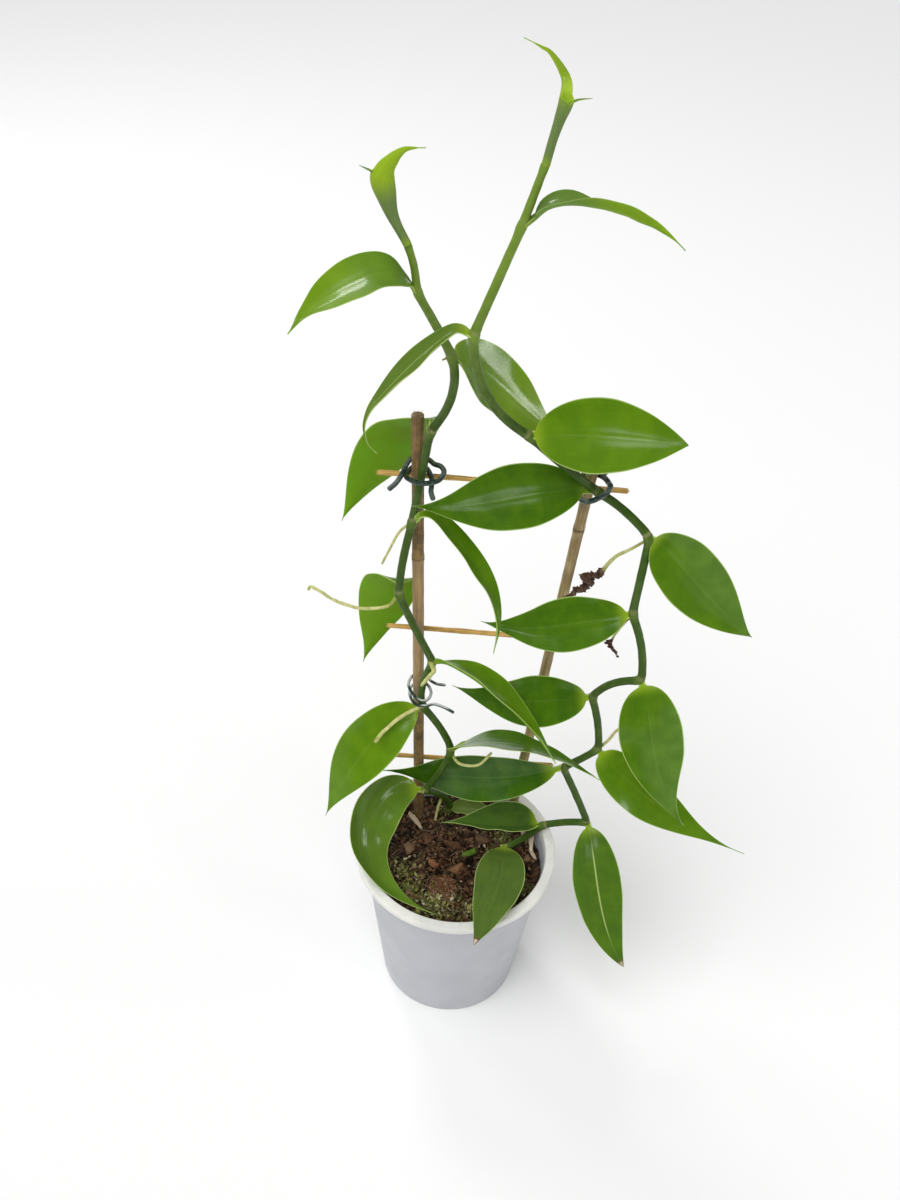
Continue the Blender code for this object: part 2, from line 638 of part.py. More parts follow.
def main():
    remove_everything()
    plastic = material("pot plastic", (0.62, 0.67, 0.76), 0.45)
    bark = material("potting mix", (0.055, 0.032, 0.02), 0.95)
    bamboo = material("bamboo", (0.36, 0.24, 0.12), 0.6)
    split_cane = material("split bamboo", (0.55, 0.36, 0.18), 0.6)
    stem_green = material("vine green", (0.06, 0.16, 0.03), 0.4)
    leaf_green = material("leaf green", (0.1, 0.26, 0.02), 0.3)
    root_pale = material("root", (0.5, 0.52, 0.3), 0.6)
    tie_green = material("tie", (0.02, 0.05, 0.04), 0.5)

    pot(plastic)
    cane("cane_left", CANE_LEFT, CANE_LEFT_RADIUS, KNUCKLES_LEFT, bamboo)
    cane("cane_right", CANE_RIGHT, CANE_RIGHT_RADIUS, KNUCKLES_RIGHT, bamboo)
    rung("rung_top", (-0.0525, 0.3526), (0.0710, 0.3526), split_cane)
    rung("rung_middle", (-0.0465, 0.2518), (0.0620, 0.2518), split_cane)
    rung("rung_bottom", (-0.0445, 0.1475), (0.0540, 0.1495), split_cane)
    vine("vine_a", VINE_A, stem_green)
    vine("vine_b", VINE_B, stem_green)
    room_a = hide(vine("room_for_vine_a", VINE_A, stem_green, GAP))
    room_b = hide(vine("room_for_vine_b", VINE_B, stem_green, GAP))
    room_left = cane("room_for_cane_left", CANE_LEFT, CANE_LEFT_RADIUS + GAP, KNUCKLES_LEFT, bamboo)
    room_right = cane("room_for_cane_right", CANE_RIGHT, CANE_RIGHT_RADIUS + GAP, KNUCKLES_RIGHT, bamboo)
    stub_route = [place(*p) for p in STUB]
    ring_count = len(stub_route)
    tube("cut_stub", stub_route, [STEM_RADIUS] * ring_count, STEM_SIDES, stem_green)
    room_stub = tube("room_for_stub", stub_route, [STEM_RADIUS + GAP] * ring_count, STEM_SIDES, stem_green)
    soil_root = ROOTS[0]
    root(soil_root, room_a, root_pale)
    soil_root_points = smooth_route([place(*p) for p in soil_root.route], 3)
    soil_root_radii = [soil_root.start * MM + GAP] * len(soil_root_points)
    room_root = tube("room_for_root", soil_root_points, soil_root_radii, ROOT_SIDES, root_pale)
    rooms = (room_left, room_right, room_stub, room_root)
    soil(bark, (room_a, room_b, *(hide(room) for room in rooms)))
    vine_rooms = {"a": room_a, "b": room_b}
    for details in ROOTS[1:]:
        root(details, vine_rooms[details.vine], root_pale)
    for name, spine in CLUMPS.items():
        clump(name, spine, bark)
    for name, (radius, route) in TIES.items():
        tie(name, radius, route, tie_green)
    for leaf in LEAVES_A:
        leaf_blade(leaf, room_a, leaf_green)
    for leaf in LEAVES_B:
        leaf_blade(leaf, room_b, leaf_green)


if __name__ == "__main__":
    main()
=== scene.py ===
"""A vanilla orchid on its bamboo ladder in a nursery pot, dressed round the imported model.

Metres, +Z up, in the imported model's frame. Places on the plant are written in millimetres and go
through place(). The file is laid out as an add-on and is run as a script.
"""

import bisect
import functools
import math
import random
from typing import NamedTuple

import bmesh
import bpy
from bpy.props import FloatProperty, FloatVectorProperty, IntProperty, PointerProperty
from bpy.types import Operator, Panel, PropertyGroup
from mathutils import Matrix, Vector, noise


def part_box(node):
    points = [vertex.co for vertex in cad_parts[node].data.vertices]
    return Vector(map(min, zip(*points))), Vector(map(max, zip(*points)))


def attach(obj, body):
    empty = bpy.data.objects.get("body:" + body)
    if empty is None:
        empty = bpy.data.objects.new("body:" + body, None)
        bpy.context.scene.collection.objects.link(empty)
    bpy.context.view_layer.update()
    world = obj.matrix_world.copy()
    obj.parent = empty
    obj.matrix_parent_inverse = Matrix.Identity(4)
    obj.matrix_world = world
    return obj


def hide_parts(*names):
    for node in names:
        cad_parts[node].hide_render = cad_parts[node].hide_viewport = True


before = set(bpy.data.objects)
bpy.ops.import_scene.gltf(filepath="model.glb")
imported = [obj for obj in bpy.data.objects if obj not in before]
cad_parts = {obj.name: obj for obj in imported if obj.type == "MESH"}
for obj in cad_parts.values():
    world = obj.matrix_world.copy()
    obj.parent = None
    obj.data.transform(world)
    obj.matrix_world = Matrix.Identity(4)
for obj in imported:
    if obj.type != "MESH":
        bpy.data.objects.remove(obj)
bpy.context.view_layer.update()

bl_info = {
    "name": "Potted Vanilla Orchid",
    "version": (1, 0, 0),
    "blender": (4, 5, 0),
    "location": "View3D > Sidebar > Orchid",
    "description": "Builds a vanilla orchid on a bamboo ladder in a nursery pot",
    "category": "Object",
}

MM = 0.001
UP = Vector((0, 0, 1))
SMOOTH_BELOW = 48  # degrees between two faces, above which their edge is sharp

# Camera, fitted to the photograph, in metres
CAMERA_AT = (0.0, -0.4648, 0.6819)
CAMERA_RIGHT = (0.9969, 0.0644, 0.0460)
CAMERA_UP = (-0.0764, 0.6314, 0.7717)
CAMERA_FORWARD = (-0.0206, 0.7728, -0.6343)
CAMERA_LENS = 36
CAMERA_SENSOR = 36

# Pot
POT_SIDES = 144
RIM_INNER_RADIUS = 0.0540
RIM_LIP = 0.0040
WALL_TOP_RADIUS = 0.0553
WALL_STEP_Z = 0.090
WALL_STEP = 0.0006
WALL_STEP_HEIGHT = 0.0012
BASE_RADIUS = 0.0425
FLOOR = 0.0018
DRAIN_HOLES = 6
DRAIN_HOLE_RADIUS = 0.0035
DRAIN_RING_RADIUS = 0.028
DRAIN_SIDES = 32
STEP_EDGE = 0.0008
FOOT_ROUNDING = 0.0012
FLOOR_ROUNDING = 0.0016
RIM_ROUNDING = 0.0014
EDGE_ROUNDING = 0.0004
FOLD_ROUNDING = 0.0003
POT_SMOOTH_BELOW = 40
CORNER_STEPS = 4
CORNER_SHARE = 0.45  # of each side that a rounded corner may take

# Potting mix
SOIL_Z = 0.098
SOIL_RELIEF = 0.0026
COARSE_BARK = 130
FINE_BARK = 260
SLOW_SWELL = 45
SOIL_SEED = 7
ROUGHNESS_SEED = 3
BED_RINGS = 62
BED_SIDES = 200
BED_LIGHT = 0.12
LIGHT_PATCHES = (170, 700)
RED_PATCHES = 90
BED_RED_FROM = 0.25
CHUNK_TILT = 0.35
CHUNK_GRAIN = 420
BED_GAP_TOP = 0.0007
BED_GAP_FOOT = 0.0005
BED_LIFT = 0.0003
BED_EDGE_DROP = 0.0012
CHIP_MARGIN = 0.0045  # how far the chips, crumbs, fibres and moss stay inside the wall
CRUMB_MARGIN = 0.002
FIBRE_MARGIN = 0.006
CHIP_ROUGHNESS = 0.0003
CHOSEN_ROUGHNESS = 0.0004
CLUMP_ROUGHNESS = 0.0002
CHUNKS_PER_BEAD = 6
PALE_CHIPS = 0.08  # share of the chips that are pale, and then of the crumbs, fibres, moss and clumps
PALE_CRUMBS = 0.15
PALE_FIBRES = 0.25
PALE_MOSS = 0.18
PALE_CLUMPS = 0.2
CRUMB_LENGTHS = (0.0010, 0.0040)
FIBRE_LENGTHS = (0.003, 0.010)
FIBRE_RADII = (0.00012, 0.00028)
FIBRE_LIFT = 0.0012
FIBRE_ARCH = 0.0016
MASSED_SHORTER = 0.7
MASSED_THICKER = 1.25
MOSS_LENGTHS = (0.0016, 0.0042)
MOSS_LIFT = 0.0004

# Ladder
CANE_SIDES = 28
KNUCKLE_SWELL = 0.13
KNUCKLE_REACH = 0.0045
KNUCKLE_MARKS = (-0.0030, -0.0016, -0.0009, -0.0004, 0.0, 0.0004, 0.0010, 0.0018, 0.0032)
GROOVE_DEPTH = 0.10
GROOVE_WIDTH = 0.0005
STAIN_WIDTH = 0.0008
FRESH_FROM = -0.020  # where a stained cane turns fresh, from its middle knuckle, and over what length
FRESH_OVER = 0.03
STAINED_FROM = 0.003  # where it turns back, from its upper knuckle, and over what length
STAINED_OVER = 0.005
STAIN = 0.45
FRESH_BAMBOO = 0.75
FRESH_SHINE = 0.42
CUT_DEPTH = 0.0002
CANE_STEPS = 150
RUNG_SIDES = 14
RUNG_STEPS = 40
LADDER_SEED = 11
SPLINTER_RADII = (0.00022, 0.00016, 0.00004)
SPLINTER_LENGTHS = (0.0009, 0.0024)
SPLINTER_ROOT = 0.0008
CANE_SPLINTERS = 34
RUNG_SPLINTERS = 7
RUNG_GAP = 0.0003

# Vines
STEM_RADIUS = 0.0021
STEM_SIDES = 22
STEM_SPACING = 0.0014
BOW_STEPS = 24
BEND_PASSES = 6
NODE_REACH = 0.0034
SCAR_RISE = 0.0024
SCAR_WIDTH = 0.0007
SCAR_DEPTH = 0.00016
YOUNG_FROM = 0.38
YOUNG_OVER = 0.12

# Roots and ties
ROOT_SIDES = 16
ROOT_SEED = 23
ROOT_FLARE = 0.35
ROOT_UNEVEN = 0.08
ROOT_SWELLS = 260
ROOT_STEPS = 10
TIE_STEPS = 6
# Share of painted highlight on the upper side of the soft ties and of the lower wire tie
TIE_HIGHLIGHT_SHARE = 0.16
WIRE_HIGHLIGHT_SHARE = 1.0
TIE_PATCHES = 130
TIE_SIDES = 14
DOME = (0.25, 0.6, 0.85)  # radii of the rings that round off a tube's end
DOME_HEIGHT = 0.55

# Leaves
LEAF_STATIONS = 46
LEAF_ACROSS = 18
ROLLED_LEAF_ACROSS = 36
ROLLED_LEAF_STATIONS = 90
CLOSED_ROLL = 188
ROLL_OVERLAP = 0.06
TIP_HALF_WIDTH = 0.00015
BASE_POWER = 0.72
PETIOLE_THICKNESS = 0.0026
BASE_CURL = 72
GROOVE_IN_BLADE = 0.00032
GROOVE_HALF_WIDTH = 0.0009
QUILTING = 0.00010
MIDRIB_SLACK = 1.12  # a midrib's length over its straight reach
END_CROWDING = 0.45  # how much closer together the stations lie at both ends
SLOW_WAVE = 15
QUICK_WAVE = 27
WAVE_LAG = 1.7  # between the two margins
MARGIN_THINNING = 0.45

# Reliefs, each as its height in metres and how fine it is, in waves in a metre
CANE_RELIEF = (0.00012, 160)
RUNG_RELIEF = (0.00016, 260)
STEM_RELIEF = (0.00010, 240)
NUB_RELIEF = (0.00008, 500)
HUSK_RELIEF = (0.0004, 500)
ROOT_RELIEF = (0.00012, 420)
BED_RELIEFS = ((0.0013, 300), (0.0010, 900))
SCRAP_SIDES = 10

# Colours of small marks
SCAR_COLOUR = (0.33, 0.29, 0.15)
STREAK_COLOUR = (0.30, 0.38, 0.14)
ROOT_TIP_COLOUR = (0.20, 0.12, 0.06)
KNUCKLE_COLOUR = (0.055, 0.034, 0.018)
CUT_COLOUR = (0.46, 0.33, 0.19)
RED_BARK = (0.25, 0.090, 0.036)
PALE_BARK = (0.36, 0.25, 0.16)
MOSS_STREAK = (0.20, 0.22, 0.07)
MOSS_TIP = (0.50, 0.48, 0.30)
SCUFF_COLOUR = (0.52, 0.52, 0.50)
SPECK_COLOUR = (0.13, 0.09, 0.06)
RUBBED_TIE = (0.13, 0.17, 0.15)
# Painted highlight on the upper side of a tie
TIE_PAINTED_HIGHLIGHT = (0.56, 0.60, 0.56)
# Greyer green of a dull blade, which on some leaves also stands in for a painted sheen
DULL_AND_SHEEN_GREEN = (0.180, 0.225, 0.060)
BLEACHED = (0.72, 0.58, 0.42)
# Painted light shining through the inside of a rolled leaf at its mouth, over its young green
MOUTH_GLOW_GREEN = (0.56, 0.76, 0.06)


@functools.lru_cache
def circle(sides):
    """The cosine and sine of evenly spaced angles."""
    angles = [2 * math.pi * k / sides for k in range(sides)]
    return [(math.cos(angle), math.sin(angle)) for angle in angles]


def place(x, y, z):
    """A point given in millimetres, in metres."""
    return Vector((x, y, z)) * MM


def smooth_route(points, steps):
    """A Catmull-Rom curve through points, with a number of steps in each stretch."""
    held = [points[0] * 2 - points[1], *points, points[-1] * 2 - points[-2]]
    route = []
    for i in range(1, len(held) - 2):
        a, b, c, d = held[i - 1 : i + 3]
        for step in range(steps):
            t = step / steps
            square = (2 * a - 5 * b + 4 * c - d) * t**2
            cube = (3 * b - a - 3 * c + d) * t**3
            route.append((2 * b + (c - a) * t + square + cube) / 2)
    return [*route, points[-1]]


def curve(route, steps):
    """A smooth curve through points given in millimetres."""
    return smooth_route([place(*p) for p in route], steps)


CANE_LEFT = (place(-24, 31.5, 74), place(-33.5, 26, 390))
CANE_RIGHT = (place(29.9, 31.5, 74), place(53.8, 26, 390))
KNUCKLES_LEFT = (0.083, 0.196, 0.305)
KNUCKLES_RIGHT = (0.118, 0.225, 0.331)
# Each rung's left and right end, along X and Z
RUNGS = (
    ("top", (-0.0525, 0.3526), (0.0710, 0.3526)),
    ("middle", (-0.0465, 0.2518), (0.0620, 0.2518)),
    ("bottom", (-0.0445, 0.1475), (0.0540, 0.1495)),
)


class Joint(NamedTuple):
    """One node of a vine: where it is, how far the stretch below it bows, and the stem's radius there."""

    at: tuple
    bow: tuple = (0, 0, 0)
    radius: float = STEM_RADIUS


VINE_A = (
    Joint((-6, 38, 66)),
    Joint((-6, 36, 101)),
    Joint((-22, 18.6, 136), (4, 2, 2)),
    Joint((-7, 19, 172), (2, 0, 0)),
    Joint((-25, 22, 203), (3, -1, 0)),
    Joint((-20, 20, 239), (-3, -1, 0)),
    Joint((-40, 19, 286), (0, -1, 0)),
    Joint((-34, 20, 332), (-1, -1, 0)),
    Joint((-27, 20, 385), (0, 1, 0)),
    Joint((-18, 8, 431), (5, 0, 0)),
    Joint((-34, 2, 463), (1, 0, -1), 0.0018),
    Joint((-38, -2, 485), (1, 0, 0), 0.0015),
    Joint((-38.5, -2.2, 487), (0, 0, 0), 0.0008),
    Joint((-45, -4, 505), (-1, 0, 0), 0.0008),
    Joint((-50, -5, 514), (0, 0, 0), 0.0007),
    Joint((-57, -6, 517), (0, 0, 0), 0.0001),
)

VINE_B = (
    Joint((20, 6, 70)),
    Joint((29, 10, 99)),
    Joint((51, 17, 115), (0, 0, -2)),
    Joint((78, 16, 122), (0, 0, 1.5)),
    Joint((58, 14, 171), (0.5, 0, 0)),
    Joint((76, 12, 190), (0, 0, -1)),
    Joint((67, 8, 234), (1.5, 0, 0)),
    Joint((89, -5, 260), (-2, 0, 4)),
    Joint((79, 0, 300), (2.5, 0, 0)),
    Joint((82, 8, 342)),
    Joint((55, 19, 359), (1, 0, 1.5)),
    Joint((19, 10, 393), (1, -1, -1)),
    Joint((-9, -12, 452), (-6, 0, -5)),
    Joint((7, -18, 502), (0, 0, 0), 0.0018),
    Joint((13.6, -22, 527.5), (0, 0, 0), 0.0015),
    Joint((14, -22, 529), (0, 0, 0), 0.0008),
    Joint((17.5, -22, 546), (0, 0, 0), 0.0008),
    Joint((21, -22, 551.3), (0, 0, 0), 0.0005),
    Joint((28, -22, 552), (0, 0, 0), 0.0001),
)


class Roll(NamedTuple):
    """How a young leaf is still rolled up round the vine's tip: the tube's radius at its foot and at its
    mouth in millimetres, the share of the leaf's length that is tube and the share that its mouth takes to
    open, how late the tube flares, the angle in degrees of each half above the mouth, and how fast the leaf
    narrows there."""

    foot: float
    mouth: float
    opens: float
    sweep: float
    flare: float
    spread: float
    taper: float


class Leaf(NamedTuple):
    """One leaf. reach is base to tip, bend_a and bend_b push the midrib's two handles, and face is the way
    that the upper side looks, all in millimetres or as a direction. width is the flat blade's. curl is the
    angle in degrees through which each half of the blade turns up from the midrib, and stalk is half the
    width where the leaf leaves the vine. fold makes the section a V. A route, where it is given, is the
    midrib's own points. tone runs from deep to light green, dull from glossy to matt with a greyer green
    that on some leaves also paints a sheen, rib is how pale the midrib shows, glow is how much painted light
    shining through the blade is mixed into its colour as a lighter young green, and dry is how much of the
    tip has dried."""

    name: str
    base: tuple
    reach: tuple
    width: float
    face: tuple
    bend_a: tuple = (0, 0, 0)
    bend_b: tuple = (0, 0, 0)
    face_tip: tuple = None
    curl: float = 20
    curl_tip: float = None
    belly: float = 0.40
    tip_power: float = 1.5
    petiole: float = 0.04
    stalk: float = 1.9
    fold: float = 0.0
    roll: Roll = None
    route: tuple = None
    tone: float = 0.5
    dull: float = 0.0
    rib: float = 0.06
    glow: float = 0.0
    dry: float = 0.0


# Midribs that bend more than once, in millimetres
A6_MIDRIB = (
    (-34, 20, 332), (-30.2, 18.2, 337.8), (-25.1, 16.1, 340.7), (-20, 13.5, 339.4), (-14.2, 9.7, 335.4),
    (-8.2, 5.3, 330.4), (-2.3, 0.7, 325.2), (3.1, -4, 319.8), (7.6, -8.5, 314.1), (11, -13.8, 306.4),
    (12.3, -19.4, 297.8), (11.2, -25, 289.2),
)
A9_MIDRIB = (
    (-34, 2, 463), (-36.5, 0.3, 467), (-39.8, -2.1, 471), (-44.2, -4.7, 473.6), (-49.6, -7.5, 474),
    (-55, -10.4, 473), (-62.9, -15, 470.2), (-71.4, -20.5, 465.8), (-78.1, -25.3, 461.5), (-83, -30, 456),
)
A10_MIDDLE = (
    (-37.9, -3, 485.5), (-43.9, -3, 496.6), (-46.8, -3, 505.8), (-48.3, -3, 511.8), (-47.4, -3, 515.9),
    (-44.9, -3, 519.2), (-42.3, -3, 521.8), (-38.9, -3, 523.7), (-31.7, -3, 524.4),
)
B11_MIDRIB = (
    (-9, -12, 452), (-14.8, -13, 454.6), (-19.8, -16, 453.4), (-32.1, -27, 445.7), (-44.2, -38.5, 435.5),
    (-48.6, -42.5, 430.5), (-50.5, -45.5, 424.6), (-48.8, -48, 419.1), (-44.5, -50, 415.8),
)
B12_MIDRIB = (
    (7, -18, 502), (11.6, -19, 506.4), (14.5, -20, 509.8), (17.8, -21, 512.3), (22.5, -22, 513.9),
    (27.6, -23, 514.3), (32.6, -24, 514.2), (37.3, -25, 514.1), (41.9, -26, 513.7), (46.7, -27, 513.2),
    (51.3, -28, 512.2), (55.9, -29, 510.8), (60.2, -30, 508.6), (64.2, -31, 506.1), (68.2, -32, 503),
)
B13_MIDDLE = (
    (13.7, -22, 527.5), (15.3, -22, 536.2), (17.2, -22, 544.3), (18.8, -22, 550.6), (18.9, -22, 556.6),
    (16.8, -22, 561), (12, -22, 566.4), (8.2, -22, 568.2), (2.1, -22, 570.6),
)

LEAVES_A = (
    Leaf(
        "a0", (-6, 36, 103), (30, -7, 4), 13, (0, -0.3, 0.9), (0, 0, 2), (0, 0, 3), curl=60, fold=0.5,
        tone=0.3, dull=1.0,
    ),
    Leaf(
        "a1", VINE_A[2].at, (13, -63, -34), 33, (0.6, -0.2, 0.75), (-37, 12, 28), (-62, -6, -2), curl=35,
        tone=0.55, dull=0.35,
    ),
    Leaf(
        "a2", VINE_A[3].at, (84, -25, 12), 28, (0, 0.36, 0.9), (-6, 0, 25), (4, 0, 15), belly=0.25,
        petiole=0.025, tone=0.4,
    ),
    Leaf(
        "a3", VINE_A[4].at, (-52, -31, -64), 32, (-0.1, -0.85, 0.5), (-9, -3, 17), (-6, -4, 9), tone=0.75,
    ),
    Leaf(
        "a4", VINE_A[5].at, (70, -40, -30), 26, (0.5, 0.2, 0.8), (-6, -2, 29), (7, -2, 14), curl=38,
        tone=0.65,
    ),
    Leaf(
        "a5", VINE_A[6].at, (-22, 30, -77), 32, (0, 0.3, 1), (7, 14, 39), (1, 8, 10),
        face_tip=(0, 1.6, -0.3), petiole=0.1, tone=0.75,
    ),
    Leaf(
        "a6", VINE_A[7].at, (45, -45, -45), 13, (0.45, -0.45, 0.75), face_tip=(0.75, -0.2, 0.6), curl=36,
        belly=0.42, tip_power=1.6, petiole=0.1, route=A6_MIDRIB, tone=0.55,
    ),
    Leaf(
        "a7", VINE_A[8].at, (-46, 26, -74), 38, (-0.2, 0.3, 1), (22, 22, 31), (-3, 16, 8),
        face_tip=(-0.4, 1.4, -0.1), petiole=0.16, tone=0.8,
    ),
    # a8's tone and dull are raised so that its colour paints the silvery sheen on its blade as a lighter,
    # greyer green
    Leaf(
        "a8", VINE_A[9].at, (54, 33, -57), 30, (0.2, -0.6, 0.75), (-9, 6, 12), (-1, 0, -1), tip_power=1.3,
        tone=0.9, dull=0.15, glow=0.25,
    ),
    Leaf(
        "a9", VINE_A[10].at, (-49, -32, -7), 27, (-0.35, -0.36, 0.85), belly=0.38, petiole=0.08,
        route=A9_MIDRIB, tone=0.8, glow=0.2,
    ),
    Leaf(
        "a10", (-37.9, -3, 485.5), (6.2, 0, 38.9), 20, (-0.75, 0.65, 0.1), face_tip=(-0.2, 1, 0.5),
        roll=Roll(1.5, 4.6, 0.55, 0.14, 1.5, 88, 2.0), route=A10_MIDDLE, tone=1.0, glow=1.0,
    ),
)

LEAVES_B = (
    Leaf(
        "b0", (29, 10, 101), (-15, -82, 14), 29, (0, -0.3, 0.95), (6, -2, 13), (5, 2, 5), tip_power=0.95,
        tone=0.2, dull=0.6, dry=1.0,
    ),
    Leaf(
        "b1", VINE_B[2].at, (-61, -3, -1), 33, (0, -0.15, 0.98), (0, 0, -5), curl=98, fold=0.8,
        belly=0.3, tip_power=1.7, tone=0.1, dull=0.35,
    ),
    Leaf(
        "b2", VINE_B[3].at, (28, -56, -63), 29, (0, -0.75, 0.65), (-2, -4, 9), (-10, -2, -1), tip_power=0.85,
        tone=0.35, dull=0.2, rib=1.0, dry=0.5,
    ),
    Leaf(
        "b3", VINE_B[4].at, (-106.5, 10, -26), 31, (0, -0.75, 0.6), (0, -4, -13), (0, 11.4, -14),
        face_tip=(0, -1, 0), curl_tip=6, belly=0.44, tip_power=1.9, tone=0.25,
    ),
    Leaf(
        "b4", VINE_B[5].at, (87, -32, -42), 27, (-0.1, -0.7, 0.7), (-14, -2, 2), (-7, 0, -10),
        belly=0.33, tip_power=2.3, tone=0.65,
    ),
    Leaf(
        "b5", VINE_B[6].at, (-76, 13, -12), 29, (0, -0.8, 0.6), (0, -2, -4), (7, -2, -12), belly=0.37,
        tone=0.35,
    ),
    Leaf(
        "b6", VINE_B[7].at, (32, -30, -75), 34, (-0.2, -0.8, 0.55), (-2, -2, 10), (-12, -2, 0), belly=0.36,
        tone=0.5,
    ),
    Leaf("b7", VINE_B[8].at, (-75, 0, -12), 28, (0, -0.8, 0.6), (0, -2, 0), (4, -2, -10), tone=0.42),
    Leaf(
        "b8", VINE_B[9].at, (60, -3, -55), 32, (0, -0.85, 0.5), (-6, -2, 12), (0, -2, -5), tip_power=1.2,
        tone=0.55,
    ),
    Leaf(
        "b9", VINE_B[10].at, (-88, -22, -1), 32, (0, -0.8, 0.6), (0, -2, 9), (4, 0, -7), petiole=0.09,
        tone=0.4,
    ),
    Leaf(
        "b10", VINE_B[11].at, (71, -10, 7), 35, (0, -0.8, 0.6), (0, -2, 4), (2, 0, 2), tip_power=0.9,
        tone=0.7,
    ),
    Leaf(
        "b11", VINE_B[12].at, (-37, -38, -36), 11, (-0.45, -0.45, 0.8), curl=50, belly=0.36, tip_power=2.6,
        route=B11_MIDRIB, tone=0.5, dull=0.6, rib=0.9,
    ),
    # b12's tone and glow are raised so that its colour paints the light sheen on its blade
    Leaf(
        "b12", VINE_B[13].at, (62, -14, -6), 18, (-0.1, -0.4, 1), face_tip=(0, 1.2, 0.5), curl=56,
        curl_tip=4, belly=0.31, tip_power=2.2, petiole=0.12, route=B12_MIDRIB, tone=0.8, rib=0.1, glow=0.5,
    ),
    Leaf(
        "b13", (13.7, -22, 527.5), (-11.6, 0, 43.1), 12, (0.6, -0.75, 0.2), face_tip=(0.3, -0.5, 1),
        roll=Roll(1.4, 2.5, 0.46, 0.05, 2.4, 75, 1.6), route=B13_MIDDLE, tone=1.0, glow=1.0,
    ),
)


class Root(NamedTuple):
    """One aerial root: its route in millimetres and its radius at the start and at the end."""

    name: str
    route: tuple
    start: float = 0.9
    end: float = 0.8


ROOTS = (
    Root("a1", ((-11, 31, 117), (-13, 29, 109), (-15, 27, 92))),
    Root("a2", ((-7, 20, 170), (-3, 15, 167), (3, 12, 168), (10, 10, 172), (16, 10, 182))),
    Root(
        "a3",
        ((-24.4, 20, 205.5), (-26, 17.6, 206.8), (-31.5, 15, 205.1), (-38, 12, 201.4), (-43.2, 9, 197.1),
         (-47, 5.5, 194.5), (-49.3, 1, 193)),
        1.1, 1.1,
    ),
    Root(
        "a4",
        ((-21.4, 19, 240.4), (-20, 16.6, 238.9), (-19.4, 15.6, 236.6), (-21.8, 15.2, 232.6),
         (-24.2, 15.2, 228.4), (-25.8, 15.4, 225.4)),
        1.5, 0.9,
    ),
    Root(
        "a5",
        ((-40, 19, 286), (-44, 16, 281), (-50, 15, 279), (-61, 15, 278), (-73, 15, 282), (-80, 16, 286),
         (-85.6, 18, 287.4), (-87, 18, 285.2)),
    ),
    Root("a6", ((-34, 20, 332), (-40, 20, 326), (-44, 20, 317), (-49, 22, 303)), 0.8, 0.6),
    Root("b4", ((76, 12, 190), (81, 13, 197), (85, 15, 203), (91, 18, 204))),
    Root("b7", ((79, 0, 300), (76, 4, 290), (74, 8, 281), (73, 10, 275)), 0.8, 0.7),
    Root("b8", ((82, 8, 342), (75, 12, 332), (69, 16, 324), (66, 19, 317), (64, 21, 311)), 0.65, 1.15),
)

# Dead buds and scraps of sheath at nodes: the vine, each point and radius in millimetres, and the shares of
# young green, swelling and dry scar at its near and far end
NUBS = (
    ("a", (((-19, 6.8, 432), 0.7), ((-20.6, 6.4, 431), 0.55), ((-22.2, 6, 430.2), 0.35)),
     (1, 1, 0), (0, 0, 1)),
    ("a", (((-21.4, 17.4, 138.6), 0.5), ((-21.9, 16.2, 138), 1.0), ((-22.5, 15.4, 137.2), 0.6)),
     (1, 1, 1), (1, 1, 1)),
    ("a", (((-27.6, 18.2, 384.5), 0.5), ((-28.2, 17.6, 387.6), 0.5), ((-28.6, 18, 390.4), 0.2)),
     (1, 1, 0.3), (1, 1, 0.6)),
    ("b", (((51, 19.5, 368.4), 0.3), ((48.4, 19, 367.4), 0.6), ((47.4, 18.6, 364), 0.4)),
     (1, 1, 0.4), (1, 1, 0.7)),
)

STUB = ((2, 0, 84), (4, 2, 96), (12, 5, 101))

# Old bark that the roots still hold: each clump's spine and radius, in millimetres
CLUMPS = {
    "crumbs_high": (
        ((63.1, 21.4, 309.6), 1.9), ((61.4, 22, 306.1), 2.5), ((58.6, 22, 305.4), 2.5),
        ((54.6, 21.6, 305.9), 2.6), ((57.9, 22, 302.2), 2.8), ((56.4, 21.6, 299.4), 2.5),
        ((53.6, 21.6, 296), 2.2), ((50.8, 22.3, 296.6), 1.1), ((50.6, 21, 293.8), 1.8),
        ((47.8, 20.2, 292.2), 1.4), ((46.8, 19.8, 291.6), 0.9),
    ),
    "crumbs_low": (
        ((72.9, 10.2, 274), 0.9), ((71, 11, 270.6), 1.5), ((73.6, 11, 267.6), 1.4), ((75.6, 11, 264.6), 1.0),
        ((77.2, 11, 262), 0.7),
    ),
}

